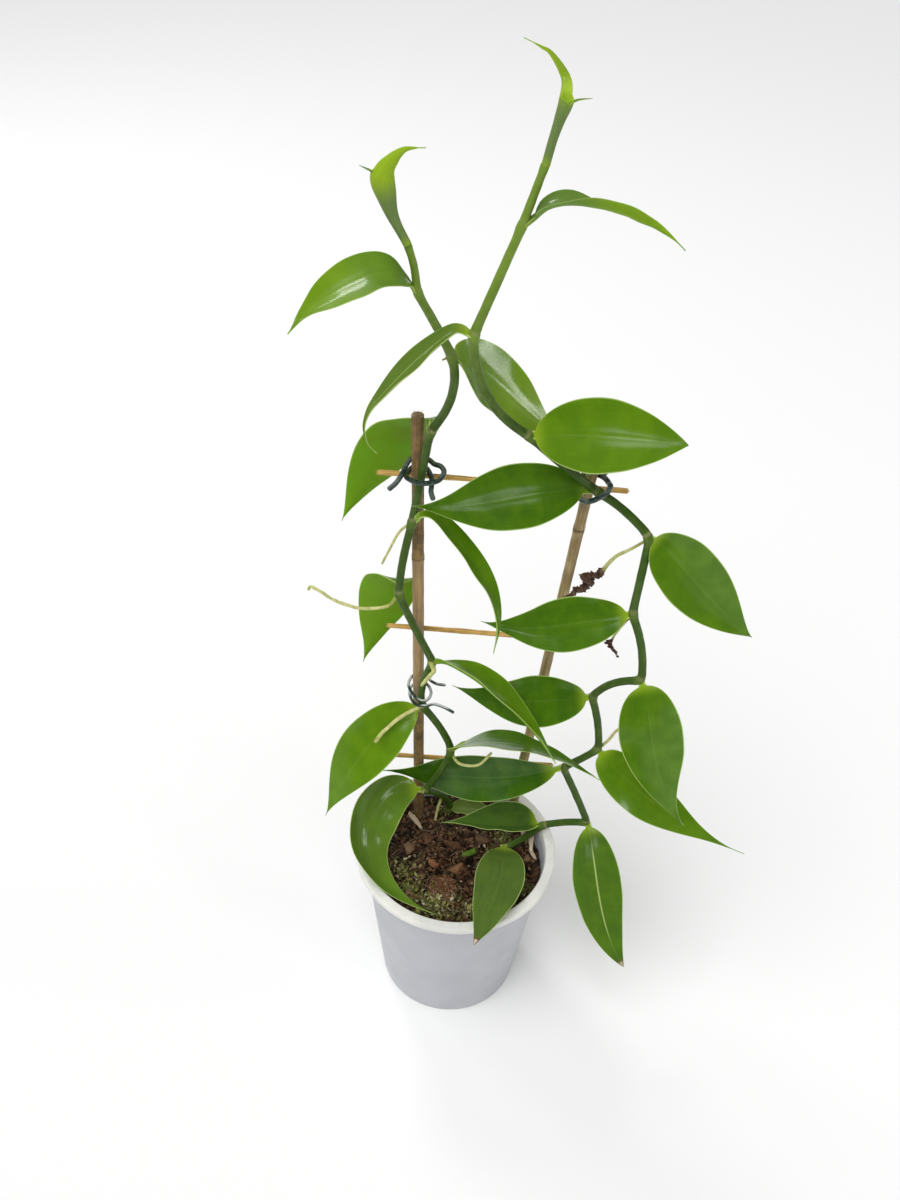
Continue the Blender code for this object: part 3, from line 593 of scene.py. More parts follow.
# Ties, as routes in millimetres, and each one's radius
TIES = {
    "tie_top_left": (
        1.3,
        ((-45.3, 14, 355), (-42.2, 16, 357.4), (-39.4, 20, 360.8), (-38, 26, 362.2), (-36, 30.3, 362.8),
         (-32, 32.4, 363), (-27.5, 30.2, 362.8), (-24.6, 26.5, 363), (-21.2, 22.5, 364.5),
         (-19.4, 18.5, 364), (-21.3, 16.2, 361), (-25, 16.2, 359), (-29, 16.5, 358), (-33, 16.6, 358.4),
         (-36.4, 18, 359), (-37.8, 21.5, 357.8), (-37.6, 26, 357), (-35.6, 30.6, 357.4), (-32, 32.3, 357.8),
         (-28.4, 30.8, 357.2), (-25.9, 26.5, 355.5), (-25.2, 21.5, 354.2), (-25.2, 18, 352.4),
         (-23.9, 15, 350.4)),
    ),
    "tie_top_right": (
        1.4,
        ((56.5, 19.5, 368.5), (58.2, 25, 367.6), (56, 30, 366.5), (52.5, 31.2, 365), (48.6, 30, 362.5),
         (46.8, 25.5, 358.4), (45.8, 21, 355.4), (48.4, 16.2, 355), (52.1, 13.2, 357.4), (55.7, 12.4, 360.4),
         (58.6, 12.6, 363), (60.2, 15.5, 364.6), (60, 20.5, 363.2), (58.3, 26, 362.4), (55.5, 30, 361.5),
         (52, 31.3, 361)),
    ),
    "tie_lower": (
        0.85,
        ((-13, 16, 226.6), (-17.3, 19, 224.1), (-21, 25, 220.5), (-23.6, 31, 218), (-27.5, 33.6, 217),
         (-31.4, 32.4, 216.6), (-33.4, 28, 216.4), (-33.1, 22.5, 217), (-30, 17.6, 215.5),
         (-27, 16.6, 213.4), (-23.4, 16.8, 212.6), (-21, 19.5, 213.2), (-20.6, 24, 213.2),
         (-22.6, 29.5, 212.4), (-26, 33.4, 211.2), (-29.6, 33.4, 210.2), (-32.6, 30.8, 209),
         (-32.8, 26.2, 208.2), (-30.6, 20.5, 207.9), (-27.4, 17.2, 208.5), (-22.5, 15.6, 210),
         (-18.2, 13.8, 213.5), (-12.7, 12.5, 213), (-7.1, 11, 211)),
    ),
}

# Chips that stand out in the photograph: place, length in millimetres, and shares of light, red and pale
CHOSEN_CHIPS = (
    ((-28.7, 3.9), 13, (0.9, 0.2, 0.20)),
    ((-13.1, -5.4), 9, (0.5, 0.95, 0.1)),
    ((0.8, -7.5), 14, (0.9, 0.45, 0.10)),
    ((15.6, 13.9), 14, (0.5, 0.1, 0.05)),
    ((-6.8, -20.5), 10, (0.3, 0.5, 0.0)),
    ((-25.6, -30.1), 9, (0.9, 0.4, 0.35)),
    ((8.1, 17.4), 10, (0.15, 0.1, 0.0)),
    ((-18.0, 12.0), 11, (0.4, 0.35, 0.0)),
    ((-2.0, 9.0), 12, (0.3, 0.25, 0.0)),
    ((-20.0, -14.0), 8, (0.2, 0.1, 0.0)),
    ((41.0, -8.0), 9, (0.6, 0.5, 0.1)),
    ((44.0, 4.0), 8, (0.8, 0.3, 0.2)),
)

# Moss: place and spread in millimetres, and how many small leaves
MOSS_PATCHES = (
    ((-10.0, -36.0), 17, 620),
    ((-31.0, -12.0), 13, 200),
    ((16.0, -41.0), 13, 300),
    ((28.6, 17.1), 12, 300),
    ((-26.0, -26.0), 13, 300),
    ((40.0, -20.0), 12, 180),
    ((-8.0, 36.0), 14, 120),
)

# A mass of brown fibres: place and spread in millimetres, and how many
FIBRE_MASS = ((-6.0, -23.0), 8.5, 230)

# Dried sheaths that lie on the mix: route and width in millimetres, and shares of light, red and pale
HUSKS = (
    (((-31, 30, 101.5), (-26, 23, 103), (-22, 18, 101.5)), 3.2, (0.8, 0.3, 0.6)),
    (((38, 27, 104), (40.5, 22, 102), (43, 15, 101)), 3.4, (1.0, 0.3, 0.8)),
    (((45.8, 20.5, 106.5), (45.6, 15.5, 104.6), (45.9, 7, 102.2)), 4.4, (1.0, 0.2, 1.0)),
    (((45, 10, 101.6), (46.5, 5.5, 102.2), (49, 1.5, 101.6)), 2.4, (0.9, 0.2, 0.6)),
)

# The world's strength: what it adds to the light, what the camera sees and what the gloss mirrors
SKY_FILL = 0.34
SKY_SEEN = 0.93
SKY_MIRRORED = 0.07
SKY_DIRECTION = (-0.32, -0.42, 0.85)
LIT_POINT = (0, 0, 0.35)
# Windows that the leaves mirror: name, direction in degrees clockwise from straight behind the plant,
# height in degrees, distance and size in metres, and brightness
LIGHTS = (
    ("Window back left", -33, 42, 2.0, (0.42, 0.42), 13),
    ("Window left", -58, 20, 2.0, (0.3, 0.5), 7),
    ("Window right", 90, 4, 2.0, (0.5, 0.16), 16),
    ("Window front right", 124, 30, 2.0, (0.3, 0.3), 9),
    ("Window above the camera", -176, 45, 2.2, (0.5, 0.3), 5.0),
    ("Window front", 160, 40, 2.2, (0.3, 0.4), 4.0),
)


def a_length(name, description, default, low=0.0):
    """A length that a user can change."""
    return FloatProperty(
        name=name, description=description, default=default, min=low, unit="LENGTH", subtype="DISTANCE",
    )


def a_colour(name, description, default):
    """A colour that a user can change."""
    return FloatVectorProperty(
        name=name, description=description, default=default, min=0, max=1, subtype="COLOR",
    )


class PotSettings(PropertyGroup):
    height: a_length("Height", "From the flat underside to the top of the rim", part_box("pot")[1].z, 0.02)
    rim_radius: a_length("Rim radius", "Outer radius of the rim's flange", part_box("pot")[1].x, 0.02)
    wall: a_length("Wall", "Thickness of the moulded wall", 0.0012, 0.0005)
    body_colour: a_colour("Body colour", "Colour of the pot's wall", (0.47, 0.475, 0.51))
    # The rim's colour is painted much paler than the wall's: painted light falling on the flange from above.
    lit_rim_colour: a_colour("Rim colour", "Colour of the rim, which has gone chalky", (0.80, 0.79, 0.74))


class SoilSettings(PropertyGroup):
    chips: IntProperty(name="Bark chips", description="How many large chips lie on top", default=190, min=0)
    crumbs: IntProperty(name="Crumbs", description="How many small crumbs lie on top", default=1500, min=0)
    fibres: IntProperty(name="Fibres", description="How many loose fibres lie on top", default=170, min=0)
    chip_length: a_length("Chip length", "Length of a large bark chip", 0.0075, 0.001)
    # The wet mix's dark colour, made darker still to paint the shade between the chips and crumbs.
    earth_and_shade_colour: a_colour("Earth colour", "Dark colour of the wet mix", (0.006, 0.0035, 0.002))
    bark_colour: a_colour("Bark colour", "Colour of the drier bark", (0.190, 0.112, 0.055))
    moss_colour: a_colour("Moss colour", "Colour of the moss", (0.330, 0.330, 0.085))


class LadderSettings(PropertyGroup):
    left_radius: a_length("Left cane radius", "Radius of the left cane between knuckles", 0.0031, 0.001)
    right_radius: a_length("Right cane radius", "Radius of the right cane between knuckles", 0.0028, 0.001)
    rung_radius: a_length("Rung radius", "Radius of each split rung", 0.0015, 0.0005)
    cane_colour: a_colour("Cane colour", "Colour of the bamboo's skin", (0.41, 0.255, 0.095))
    weathered_colour: a_colour("Weathered colour", "Darker brown of weathered skin", (0.165, 0.108, 0.048))
    bleached_colour: a_colour("Bleached colour", "Paler skin of the right cane", (0.44, 0.325, 0.165))
    rung_colour: a_colour("Rung colour", "Colour of the fresh split bamboo", (0.76, 0.46, 0.14))


class VineSettings(PropertyGroup):
    node_swell: a_length("Node swelling", "How far a node stands out from the stem", 0.0005)
    old_colour: a_colour("Old stem colour", "Colour of the stem near the pot", (0.040, 0.086, 0.008))
    young_colour: a_colour("Young stem colour", "Colour of the stem near its tip", (0.165, 0.265, 0.026))


class LeafSettings(PropertyGroup):
    thickness: a_length("Thickness", "Thickness of a blade beside its midrib", 0.0011, 0.0004)
    edge: a_length("Edge thickness", "Thickness of a blade at its margin", 0.0005, 0.0002)
    wave: a_length("Margin wave", "How far the margins wander from a plain curve", 0.0004)
    deep_colour: a_colour("Deep green", "Colour of the darkest blades", (0.008, 0.066, 0.002))
    light_colour: a_colour("Light green", "Colour of the lightest blades", (0.142, 0.282, 0.004))
    # A paler green of the matt underside, lightened further as painted light shining through the blade from
    # behind.
    underside_and_glow_colour: a_colour("Underside", "Colour of the matt underside", (0.135, 0.320, 0.004))
    young_colour: a_colour("Young green", "Colour of a blade's base and mouth", (0.300, 0.440, 0.020))
    rolled_colour: a_colour("Rolled green", "Colour of the outside of a rolled blade", (0.150, 0.215, 0.075))
    margin_colour: a_colour("Margin", "Colour of the thin pale margin", (0.48, 0.58, 0.20))
    dry_colour: a_colour("Dried tip", "Colour of a tip that has dried", (0.30, 0.17, 0.07))


class RootSettings(PropertyGroup):
    pale_colour: a_colour("Pale colour", "Colour of the dry skin of a root", (0.64, 0.62, 0.27))
    green_colour: a_colour("Green colour", "Colour where the green shows through", (0.27, 0.31, 0.06))
    clump_colour: a_colour("Clump colour", "Colour of the bark that the roots hold", (0.130, 0.075, 0.055))


class TieSettings(PropertyGroup):
    colour: a_colour("Colour", "Colour of the soft ties", (0.012, 0.032, 0.022))


class StageSettings(PropertyGroup):
    floor_width: a_length("Floor width", "Width of the square floor", 12.0, 1.0)
    floor_colour: a_colour("Floor colour", "Pale colour of the floor", (0.89, 0.89, 0.88))
    sky_angle: FloatProperty(
        name="Daylight width", description="Angle over which the broad daylight is spread",
        default=math.radians(50), min=0, max=math.pi, unit="ROTATION", subtype="ANGLE",
    )
    sky_strength: FloatProperty(
        name="Daylight", description="Strength of the broad daylight", default=2.05, min=0,
    )
    gloss: FloatProperty(
        name="Windows", description="Brightness of the windows that the leaves mirror", default=1.0, min=0,
    )


class Flow:
    """One output of a node, which can be added to, taken from and multiplied like a number."""

    def __init__(self, wiring, socket):
        self.wiring = wiring
        self.socket = socket

    def __add__(self, other):
        return self.wiring.math("ADD", self, other)

    def __sub__(self, other):
        return self.wiring.math("SUBTRACT", self, other)

    def __rsub__(self, other):
        return self.wiring.math("SUBTRACT", other, self)

    def __mul__(self, other):
        return self.wiring.math("MULTIPLY", self, other)

    def held(self):
        """Kept between 0 and 1."""
        self.socket.node.use_clamp = True
        return self

    def fit(self, low, high, to_low=0.0, to_high=1.0):
        """The value between low and high, eased to between to_low and to_high."""
        numbers = dict(enumerate((self, low, high, to_low, to_high)))
        return self.wiring.result("ShaderNodeMapRange", numbers, interpolation_type="SMOOTHSTEP")


class Wiring:
    """Short ways to add nodes to one tree and to join them."""

    def __init__(self, tree):
        self.tree = tree

    def add(self, kind, **settings):
        node = self.tree.nodes.new(kind)
        for setting, value in settings.items():
            setattr(node, setting, value)
        return node

    def feed(self, socket, value):
        if isinstance(value, Flow):
            self.tree.links.new(value.socket, socket)
        else:
            socket.default_value = value

    def result(self, kind, inputs, output=0, **settings):
        """One output of a new node, whose inputs are given by their names or numbers."""
        node = self.add(kind, **settings)
        for label, value in inputs.items():
            self.feed(node.inputs[label], value)
        return Flow(self, node.outputs[output])

    def math(self, operation, a, b=0.0):
        return self.result("ShaderNodeMath", {0: a, 1: b}, operation=operation)

    def blend(self, share, a, b):
        """Two colours mixed by a share. Each is three values or an output."""
        a, b = [colour if isinstance(colour, Flow) else (*colour, 1.0) for colour in (a, b)]
        return self.result("ShaderNodeMix", {0: share, 6: a, 7: b}, 2, data_type="RGBA")

    def scaled(self, vector, *factors):
        return self.result("ShaderNodeVectorMath", {0: vector, 1: factors}, operation="MULTIPLY")

    def noise(self, vector, scale, detail=2.0, roughness=0.5):
        inputs = {"Vector": vector, "Scale": scale, "Detail": detail, "Roughness": roughness}
        return self.result("ShaderNodeTexNoise", inputs)

    def trait(self, name):
        """A vector that the mesh carries on its points."""
        return self.result("ShaderNodeAttribute", {}, "Vector", attribute_name=name)

    def split(self, vector):
        node = self.add("ShaderNodeSeparateXYZ")
        self.feed(node.inputs[0], vector)
        return [Flow(self, output) for output in node.outputs]

    def place_group(self, tree, **values):
        node = self.add("ShaderNodeGroup", node_tree=tree)
        for label, value in values.items():
            self.feed(node.inputs[label], value)
        return {output.name: Flow(self, output) for output in node.outputs}

    def grain(self, fineness):
        """Fibres that run along the piece."""
        return self.place_group(fibre_grain(), Place=self.trait("unbent"), Fineness=fineness)

    def skin(self, mottle_size, line_scale):
        """The skin of a leaf, stem or root."""
        sizes = {"Mottle size": mottle_size, "Line scale": line_scale}
        return self.place_group(plant_skin(), Place=self.trait("unbent"), **sizes)

    def surface(self, shader, tint, rough, height, strength, distance):
        """Gives the shader its colour, its roughness and a relief."""
        relief = {"Height": height, "Strength": strength, "Distance": distance}
        self.feed(shader["Base Color"], tint)
        self.feed(shader["Roughness"], rough)
        self.feed(shader["Normal"], self.result("ShaderNodeBump", relief))


def shared_group(name, inputs, outputs, build):
    """A shader node group with named sockets, made the first time that it is asked for."""
    if name in bpy.data.node_groups:
        return bpy.data.node_groups[name]
    tree = bpy.data.node_groups.new(name, "ShaderNodeTree")
    for label, (kind, default) in inputs.items():
        socket = tree.interface.new_socket(label, in_out="INPUT", socket_type=kind)
        if default is not None:
            socket.default_value = default
    for label in outputs:
        tree.interface.new_socket(label, in_out="OUTPUT", socket_type="NodeSocketFloat")
    wiring = Wiring(tree)
    entry = wiring.add("NodeGroupInput")
    leave = wiring.add("NodeGroupOutput")
    given = {output.name: Flow(wiring, output) for output in entry.outputs}
    for label, value in build(wiring, given).items():
        wiring.feed(leave.inputs[label], value)
    return tree


def fibre_grain():
    """Fine fibres that run along a piece, as bamboo, bark and dry husks show."""

    def build(wiring, given):
        long_way = wiring.scaled(given["Place"], 1.0, 1.0, 0.035)
        fine = wiring.noise(long_way, given["Fineness"], 3.0, 0.6)
        broad = wiring.noise(long_way, given["Fineness"] * 0.3, 2.0)
        patches = wiring.noise(given["Place"], 0.16, 3.0, 0.6)
        streak = fine * 0.6 + broad * 0.4
        return {"Streak": streak.fit(0.34, 0.66), "Patch": patches.fit(0.35, 0.68), "Height": fine}

    sockets = {"Place": ("NodeSocketVector", None), "Fineness": ("NodeSocketFloat", 2.0)}
    return shared_group("Fibre grain", sockets, ("Streak", "Patch", "Height"), build)


def plant_skin():
    """Soft mottling and a fine skin of cells that run along the piece, for leaves, stems and roots."""

    def build(wiring, given):
        mottle = wiring.noise(given["Place"], given["Mottle size"], 3.0, 0.55)
        lines = wiring.noise(wiring.scaled(given["Place"], 1.0, 1.0, 0.05), given["Line scale"], 2.0)
        cells = wiring.noise(wiring.scaled(given["Place"], 1.0, 1.0, 0.35), 3.4, 1.0)
        height = lines * 0.7 + cells * 0.3
        return {"Mottle": mottle.fit(0.32, 0.7), "Lines": lines.fit(0.36, 0.64), "Height": height}

    sockets = {
        "Place": ("NodeSocketVector", None),
        "Mottle size": ("NodeSocketFloat", 0.12),
        "Line scale": ("NodeSocketFloat", 0.9),
    }
    return shared_group("Plant skin", sockets, ("Mottle", "Lines", "Height"), build)


def shade(colour, factor):
    """A colour made darker or lighter."""
    return tuple(factor * c for c in colour)


def finish(name, **values):
    """A material, its Principled shader with these plain values, and the wiring of its nodes."""
    made = bpy.data.materials.new(name)
    made.use_nodes = True
    shader = made.node_tree.nodes["Principled BSDF"]
    for label, value in values.items():
        shader.inputs[label.replace("_", " ")].default_value = value
    return made, shader.inputs, Wiring(made.node_tree)


def leaf_finish(colours):
    """A fleshy blade: deep green and glossy above with faint parallel veins, lighter and matt below, with
    painted light shining through the underside and through young blades.
    """
    made, shader, wiring = finish(
        "Leaf", Coat_Roughness=0.14, Specular_IOR_Level=0.10, Subsurface_Weight=0.12,
        Subsurface_Scale=0.0016, Subsurface_Radius=(0.35, 1.0, 0.08),
    )
    side, along, below = wiring.split(wiring.trait("zone"))
    tone, dull, rib = wiring.split(wiring.trait("state"))
    # dry is how much of the tip has dried; glow is how much painted light shining through the blade is mixed
    # in
    dry, glow, _ = wiring.split(wiring.trait("wear"))
    skin = wiring.skin(0.09, 0.8)
    across = wiring.math("ABSOLUTE", side)
    vein = wiring.noise(wiring.scaled(wiring.trait("zone"), 15.0, 1.3, 0.0), 1.0, 3.0, 0.6).fit(0.35, 0.66)
    tone = tone + (skin["Mottle"] - 0.5) * 0.18 + (vein - 0.5) * 0.05
    tone = (tone + along.fit(0.10, 0.0, 0.0, 0.5)).held()
    upper = wiring.blend(tone, colours.deep_colour, colours.light_colour)
    rib_run = along.fit(0.10, 0.30) * along.fit(0.90, 0.66)
    rib = across.fit(0.045, 0.012) * (rib * rib_run.fit(0.0, 1.0, 0.15, 0.85))
    upper = wiring.blend(rib, upper, colours.margin_colour)
    # Underside: its own paler green, with painted light shining through the blade mixed in.
    lower = wiring.blend(skin["Mottle"], colours.underside_and_glow_colour, colours.light_colour)
    lower = wiring.blend(vein * 0.03, lower, colours.margin_colour)
    green = wiring.blend(below, upper, lower)
    # Dull blades turn greyer along their fine lines; on some leaves this greyer green also paints a silvery
    # sheen.
    green = wiring.blend(dull * skin["Lines"].fit(0.1, 0.9, 0.56, 0.68), green, DULL_AND_SHEEN_GREEN)
    green = wiring.blend(along.fit(0.14, 0.01, 0.0, 0.75), green, colours.young_colour)
    margin = across.fit(0.962, 0.992) * glow.fit(0.0, 1.0, 0.75, 0.1)
    green = wiring.blend(margin, green, colours.margin_colour)
    # Painted light: glow mixes in a lighter young green, brightest inside a rolled leaf's mouth, standing in
    # for light shining through the blade.
    young = wiring.blend(along.fit(0.34, 0.60), colours.rolled_colour, colours.young_colour)
    young = wiring.blend(along.fit(0.10, 0.0, 0.0, 0.6), young, colours.young_colour)
    young = wiring.blend(vein * 0.25, young, colours.light_colour)
    mouth = along.fit(0.64, 0.50) * (1.0 - below) * glow.fit(0.8, 1.0)
    young = wiring.blend(mouth, young, MOUTH_GLOW_GREEN)
    green = wiring.blend(glow, green, young)
    dried = along.fit(0.940, 0.952) * dry
    bleached = across.fit(0.85, 0.55) * along.fit(0.955, 0.970)
    husk = wiring.blend(bleached, shade(colours.dry_colour, 0.45), BLEACHED)
    matt = wiring.math("MAXIMUM", dull * 0.22, below * 0.30)
    rough = matt + 0.30 + vein * 0.10 + dried * 0.4
    relief = vein * 0.4 + skin["Height"] * 0.6
    wiring.surface(shader, wiring.blend(dried, green, husk), rough, relief, 0.30, 0.00022)
    gloss = (0.55 - dull * 0.4) * (1.0 - below * 0.9)
    wiring.feed(shader["Coat Weight"], gloss * skin["Mottle"].fit(0.0, 1.0, 0.7, 1.0))
    return made


def vine_finish(colours):
    """A smooth fleshy stem, dark near the pot and lighter at the tip, paler at its nodes."""
    made, shader, wiring = finish("Vine", Coat_Roughness=0.25, Specular_IOR_Level=0.12)
    age, bulge, scar = wiring.split(wiring.trait("state"))
    skin = wiring.skin(0.22, 1.6)
    age = (age + (skin["Mottle"] - 0.5) * 0.2 + bulge * 0.45).held()
    green = wiring.blend(age, colours.old_colour, colours.young_colour)
    green = wiring.blend(skin["Lines"] * 0.05, green, STREAK_COLOUR)
    tint = wiring.blend(scar * skin["Mottle"].fit(0.1, 0.8, 0.5, 1.0), green, SCAR_COLOUR)
    rough = skin["Lines"].fit(0.0, 1.0, 0.42, 0.56)
    wiring.surface(shader, tint, rough, skin["Height"], 0.5, 0.00025)
    wiring.feed(shader["Coat Weight"], skin["Mottle"].fit(0.0, 1.0, 0.08, 0.24))
    return made


def root_finish(colours):
    """A pale silvery root with green where its skin is thin."""
    made, shader, wiring = finish("Aerial root", Specular_IOR_Level=0.3)
    green, _, earthy = wiring.split(wiring.trait("state"))
    skin = wiring.skin(0.45, 2.2)
    pale = wiring.blend((skin["Mottle"] * 0.6 + green).held(), colours.pale_colour, colours.green_colour)
    tint = wiring.blend(earthy, pale, ROOT_TIP_COLOUR)
    wiring.surface(shader, tint, skin["Mottle"].fit(0.0, 1.0, 0.75, 0.5), skin["Height"], 0.6, 0.0002)
    return made


def bamboo_finish(name, fresh, weathered, weather):
    """Bamboo: fibres along it, weathered patches, and dark rings at the knuckles."""
    made, shader, wiring = finish(name, Specular_IOR_Level=0.2)
    worn, ring, cut = wiring.split(wiring.trait("state"))
    grain = wiring.grain(1.9)
    tint = wiring.blend(grain["Streak"], shade(fresh, 1.25), shade(fresh, 0.50))
    tint = wiring.blend(((grain["Patch"] + worn) * weather).held(), tint, weathered)
    tint = wiring.blend(ring * 0.75, tint, KNUCKLE_COLOUR)
    tint = wiring.blend(cut, tint, CUT_COLOUR)
    wiring.surface(shader, tint, grain["Streak"].fit(0.0, 1.0, 0.5, 0.72), grain["Height"], 0.7, 0.0003)
    return made


def bark_finish(name, dark, light, red=RED_BARK, pale=PALE_BARK):
    """Bark in crumbs and chips. Each chip carries its own shares of light, red and pale."""
    made, shader, wiring = finish(name, Specular_IOR_Level=0.4)
    light_share, red_share, pale_share = wiring.split(wiring.trait("state"))
    grain = wiring.grain(1.3)
    tint = wiring.blend(light_share * grain["Streak"].fit(0.0, 1.0, 0.45, 1.0), dark, light)
    tint = wiring.blend(red_share * grain["Patch"].fit(0.0, 1.0, 0.5, 1.0), tint, red)
    tint = wiring.blend(pale_share * grain["Streak"].fit(0.0, 1.0, 0.6, 1.0), tint, pale)
    wiring.surface(shader, tint, grain["Patch"].fit(0.0, 1.0, 0.42, 0.92), grain["Height"], 0.9, 0.0006)
    return made


def moss_finish(colours):
    """Small mossy leaves, from yellow green to dark green."""
    made, shader, wiring = finish("Moss", Specular_IOR_Level=0.3)
    light, pale, _ = wiring.split(wiring.trait("state"))
    grain = wiring.grain(2.6)
    tint = wiring.blend(light, shade(colours.moss_colour, 0.16), colours.moss_colour)
    tint = wiring.blend(grain["Streak"] * 0.25, tint, MOSS_STREAK)
    tint = wiring.blend(pale, tint, MOSS_TIP)
    wiring.surface(shader, tint, grain["Patch"].fit(0.0, 1.0, 0.55, 0.8), grain["Height"], 0.4, 0.0002)
    return made


def pot_finish(colours):
    """Moulded plastic with its rim painted paler than the wall as painted light from above, faint flow
    marks, scuffs and specks of dried earth.
    """
    made, shader, wiring = finish(
        "Pot plastic", Specular_IOR_Level=0.45, Subsurface_Weight=0.08, Subsurface_Radius=(1.0, 0.9, 0.8),
        Subsurface_Scale=0.002,
    )
    where = wiring.result("ShaderNodeTexCoord", {}, "Object")
    height = wiring.split(where)[2]
    flow = wiring.noise(wiring.scaled(where, 260.0, 260.0, 18.0), 1.0, 3.0, 0.6)
    cloud = wiring.noise(where, 38.0, 3.0, 0.6)
    scuff = wiring.noise(wiring.scaled(where, 90.0, 90.0, 420.0), 1.0, 4.0, 0.7)
    # Painted light: the top of the pot is painted in the paler rim colour.
    tint = wiring.blend(height.fit(0.1035, 0.1065), colours.body_colour, colours.lit_rim_colour)
    tint = wiring.blend(cloud.fit(0.35, 0.7) * 0.35, tint, shade(colours.body_colour, 0.86))
    scratched = scuff.fit(0.60, 0.72) * 0.30
    tint = wiring.blend(scratched, tint, SCUFF_COLOUR)
    speck = wiring.noise(where, 420.0, 2.0, 0.6).fit(0.70, 0.74)
    splashed = wiring.math("MAXIMUM", height.fit(0.030, 0.0, 0.0, 0.8), height.fit(0.100, 0.108, 0.0, 0.55))
    tint = wiring.blend(speck * splashed, tint, SPECK_COLOUR)
    rough = cloud.fit(0.3, 0.7, 0.34, 0.46) + scratched * 0.5
    wiring.surface(shader, tint, rough, flow + scuff * 0.4, 0.16, 0.0003)
    return made


def tie_finish(colours):
    """Soft plastic tie with a dull sheen and fine lines along it, with a pale painted highlight where it
    faces upwards.
    """
    made, shader, wiring = finish("Soft tie", Coat_Roughness=0.2, Specular_IOR_Level=0.5)
    skin = wiring.skin(0.6, 2.4)
    tint = wiring.blend(skin["Mottle"], shade(colours.colour, 0.7), shade(colours.colour, 1.6))
    tint = wiring.blend(skin["Mottle"].fit(0.62, 0.9, 0.0, 0.35), tint, RUBBED_TIE)
    # Painted highlight: pale where the surface faces upwards, in the share that each point's state gives
    upwards = wiring.split(wiring.result("ShaderNodeNewGeometry", {}, "Normal"))[2]
    painted_highlight = upwards.fit(0.35, 0.75) * wiring.split(wiring.trait("state"))[0]
    tint = wiring.blend(painted_highlight, tint, TIE_PAINTED_HIGHLIGHT)
    wiring.surface(shader, tint, skin["Lines"].fit(0.0, 1.0, 0.32, 0.5), skin["Height"], 0.4, 0.0002)
    wiring.feed(shader["Coat Weight"], skin["Mottle"].fit(0.0, 1.0, 0.3, 0.6))
    return made


def put_in(name, data):
    """A new object in the scene."""
    made = bpy.data.objects.new(name, data)
    bpy.context.scene.collection.objects.link(made)
    return made


class Shape:
    """Points and faces of one piece, with each point's unbent place in millimetres and its traits."""

    def __init__(self):
        self.points = []
        self.faces = []
        # The last trait holds a leaf's dried tip and its share of painted glow
        self.traits = {"unbent": [], "state": [], "zone": [], "wear": []}

    def add(self, points, faces, unbent, state=(0, 0, 0), zone=None, wear=None):
        start = len(self.points)
        count = len(points)
        self.points += points
        self.faces += [tuple(start + k for k in face) for face in faces]
        self.traits["unbent"] += unbent
        self.traits["state"] += state if isinstance(state, list) else [state] * count
        self.traits["zone"] += zone or [(0, 0, 0)] * count
        self.traits["wear"] += wear or [(0, 0, 0)] * count

    def mesh(self, name):
        made = bpy.data.meshes.new(name)
        made.from_pydata([tuple(p) for p in self.points], [], self.faces)
        return made

    def stand(self, name, material, slot, *nodes, smooth=True):
        """The finished piece, riding on the root body in the place of these CAD nodes."""
        if not self.faces:
            raise RuntimeError(f"{name} has no faces")
        mesh = self.mesh(name)
        work = bmesh.new()
        work.from_mesh(mesh)
        bmesh.ops.recalc_face_normals(work, faces=work.faces)
        work.to_mesh(mesh)
        work.free()
        for trait, values in self.traits.items():
            if any(any(value) for value in values):
                layer = mesh.attributes.new(trait, "FLOAT_VECTOR", "POINT")
                layer.data.foreach_set("vector", [c for value in values for c in value])
        mesh.materials.append(material)
        if smooth:
            mesh.shade_smooth()
            mesh.set_sharp_from_angle(angle=math.radians(SMOOTH_BELOW))
        made = put_in(name, mesh)
        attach(made, "root")
        if nodes:
            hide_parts(*nodes)
        return made


def ease(value):
    value = min(max(value, 0.0), 1.0)
    return value * value * (3 - 2 * value)


def add_tube(shape, points, radii, sides, states=(0, 0, 0), oval=1.0, relief=None):
    """A closed tube whose rings don't twist. oval flattens it and a relief roughens it."""
    count = len(points)
    tangents = []
    for i in range(count):
        along = points[min(i + 1, count - 1)] - points[max(i - 1, 0)]
        tangents.append(along.normalized())
    side = tangents[0].orthogonal().normalized()
    rings, unbent, kept = [], [], []
    travelled = 0.0
    for i in range(count):
        if i:
            travelled += (points[i] - points[i - 1]).length
            side = tangents[i - 1].rotation_difference(tangents[i]) @ side
            side = (side - tangents[i] * side.dot(tangents[i])).normalized()
        other = tangents[i].cross(side)
        for c, s in circle(sides):
            way = side * c + other * s * oval
            at = points[i] + way * radii[i]
            if relief:
                at += way * (noise.noise(at * relief[1]) * relief[0])
            rings.append(at)
            unbent.append((radii[i] * c / MM, radii[i] * s / MM, travelled / MM))
            kept.append(states[i] if isinstance(states, list) else states)
    faces = []
    for i in range(count - 1):
        for k in range(sides):
            a, b = i * sides + k, i * sides + (k + 1) % sides
            faces.append((a, b, b + sides, a + sides))
    faces.append(tuple(range(sides - 1, -1, -1)))
    faces.append(tuple(range((count - 1) * sides, count * sides)))
    shape.add(rings, faces, unbent, kept)


def rounded_ends(points, radii):
    """The same tube with a short dome of shrinking rings at each end."""
    start, end = points[0], points[-1]
    out_start = (points[0] - points[1]).normalized()
    out_end = (points[-1] - points[-2]).normalized()
    first = [start + out_start * (radii[0] * DOME_HEIGHT * math.sqrt(1 - d * d)) for d in DOME]
    last = [end + out_end * (radii[-1] * DOME_HEIGHT * math.sqrt(1 - d * d)) for d in reversed(DOME)]
    shrunk_first = [radii[0] * d for d in DOME]
    shrunk_last = [radii[-1] * d for d in reversed(DOME)]
    return [*first, *points, *last], [*shrunk_first, *radii, *shrunk_last]


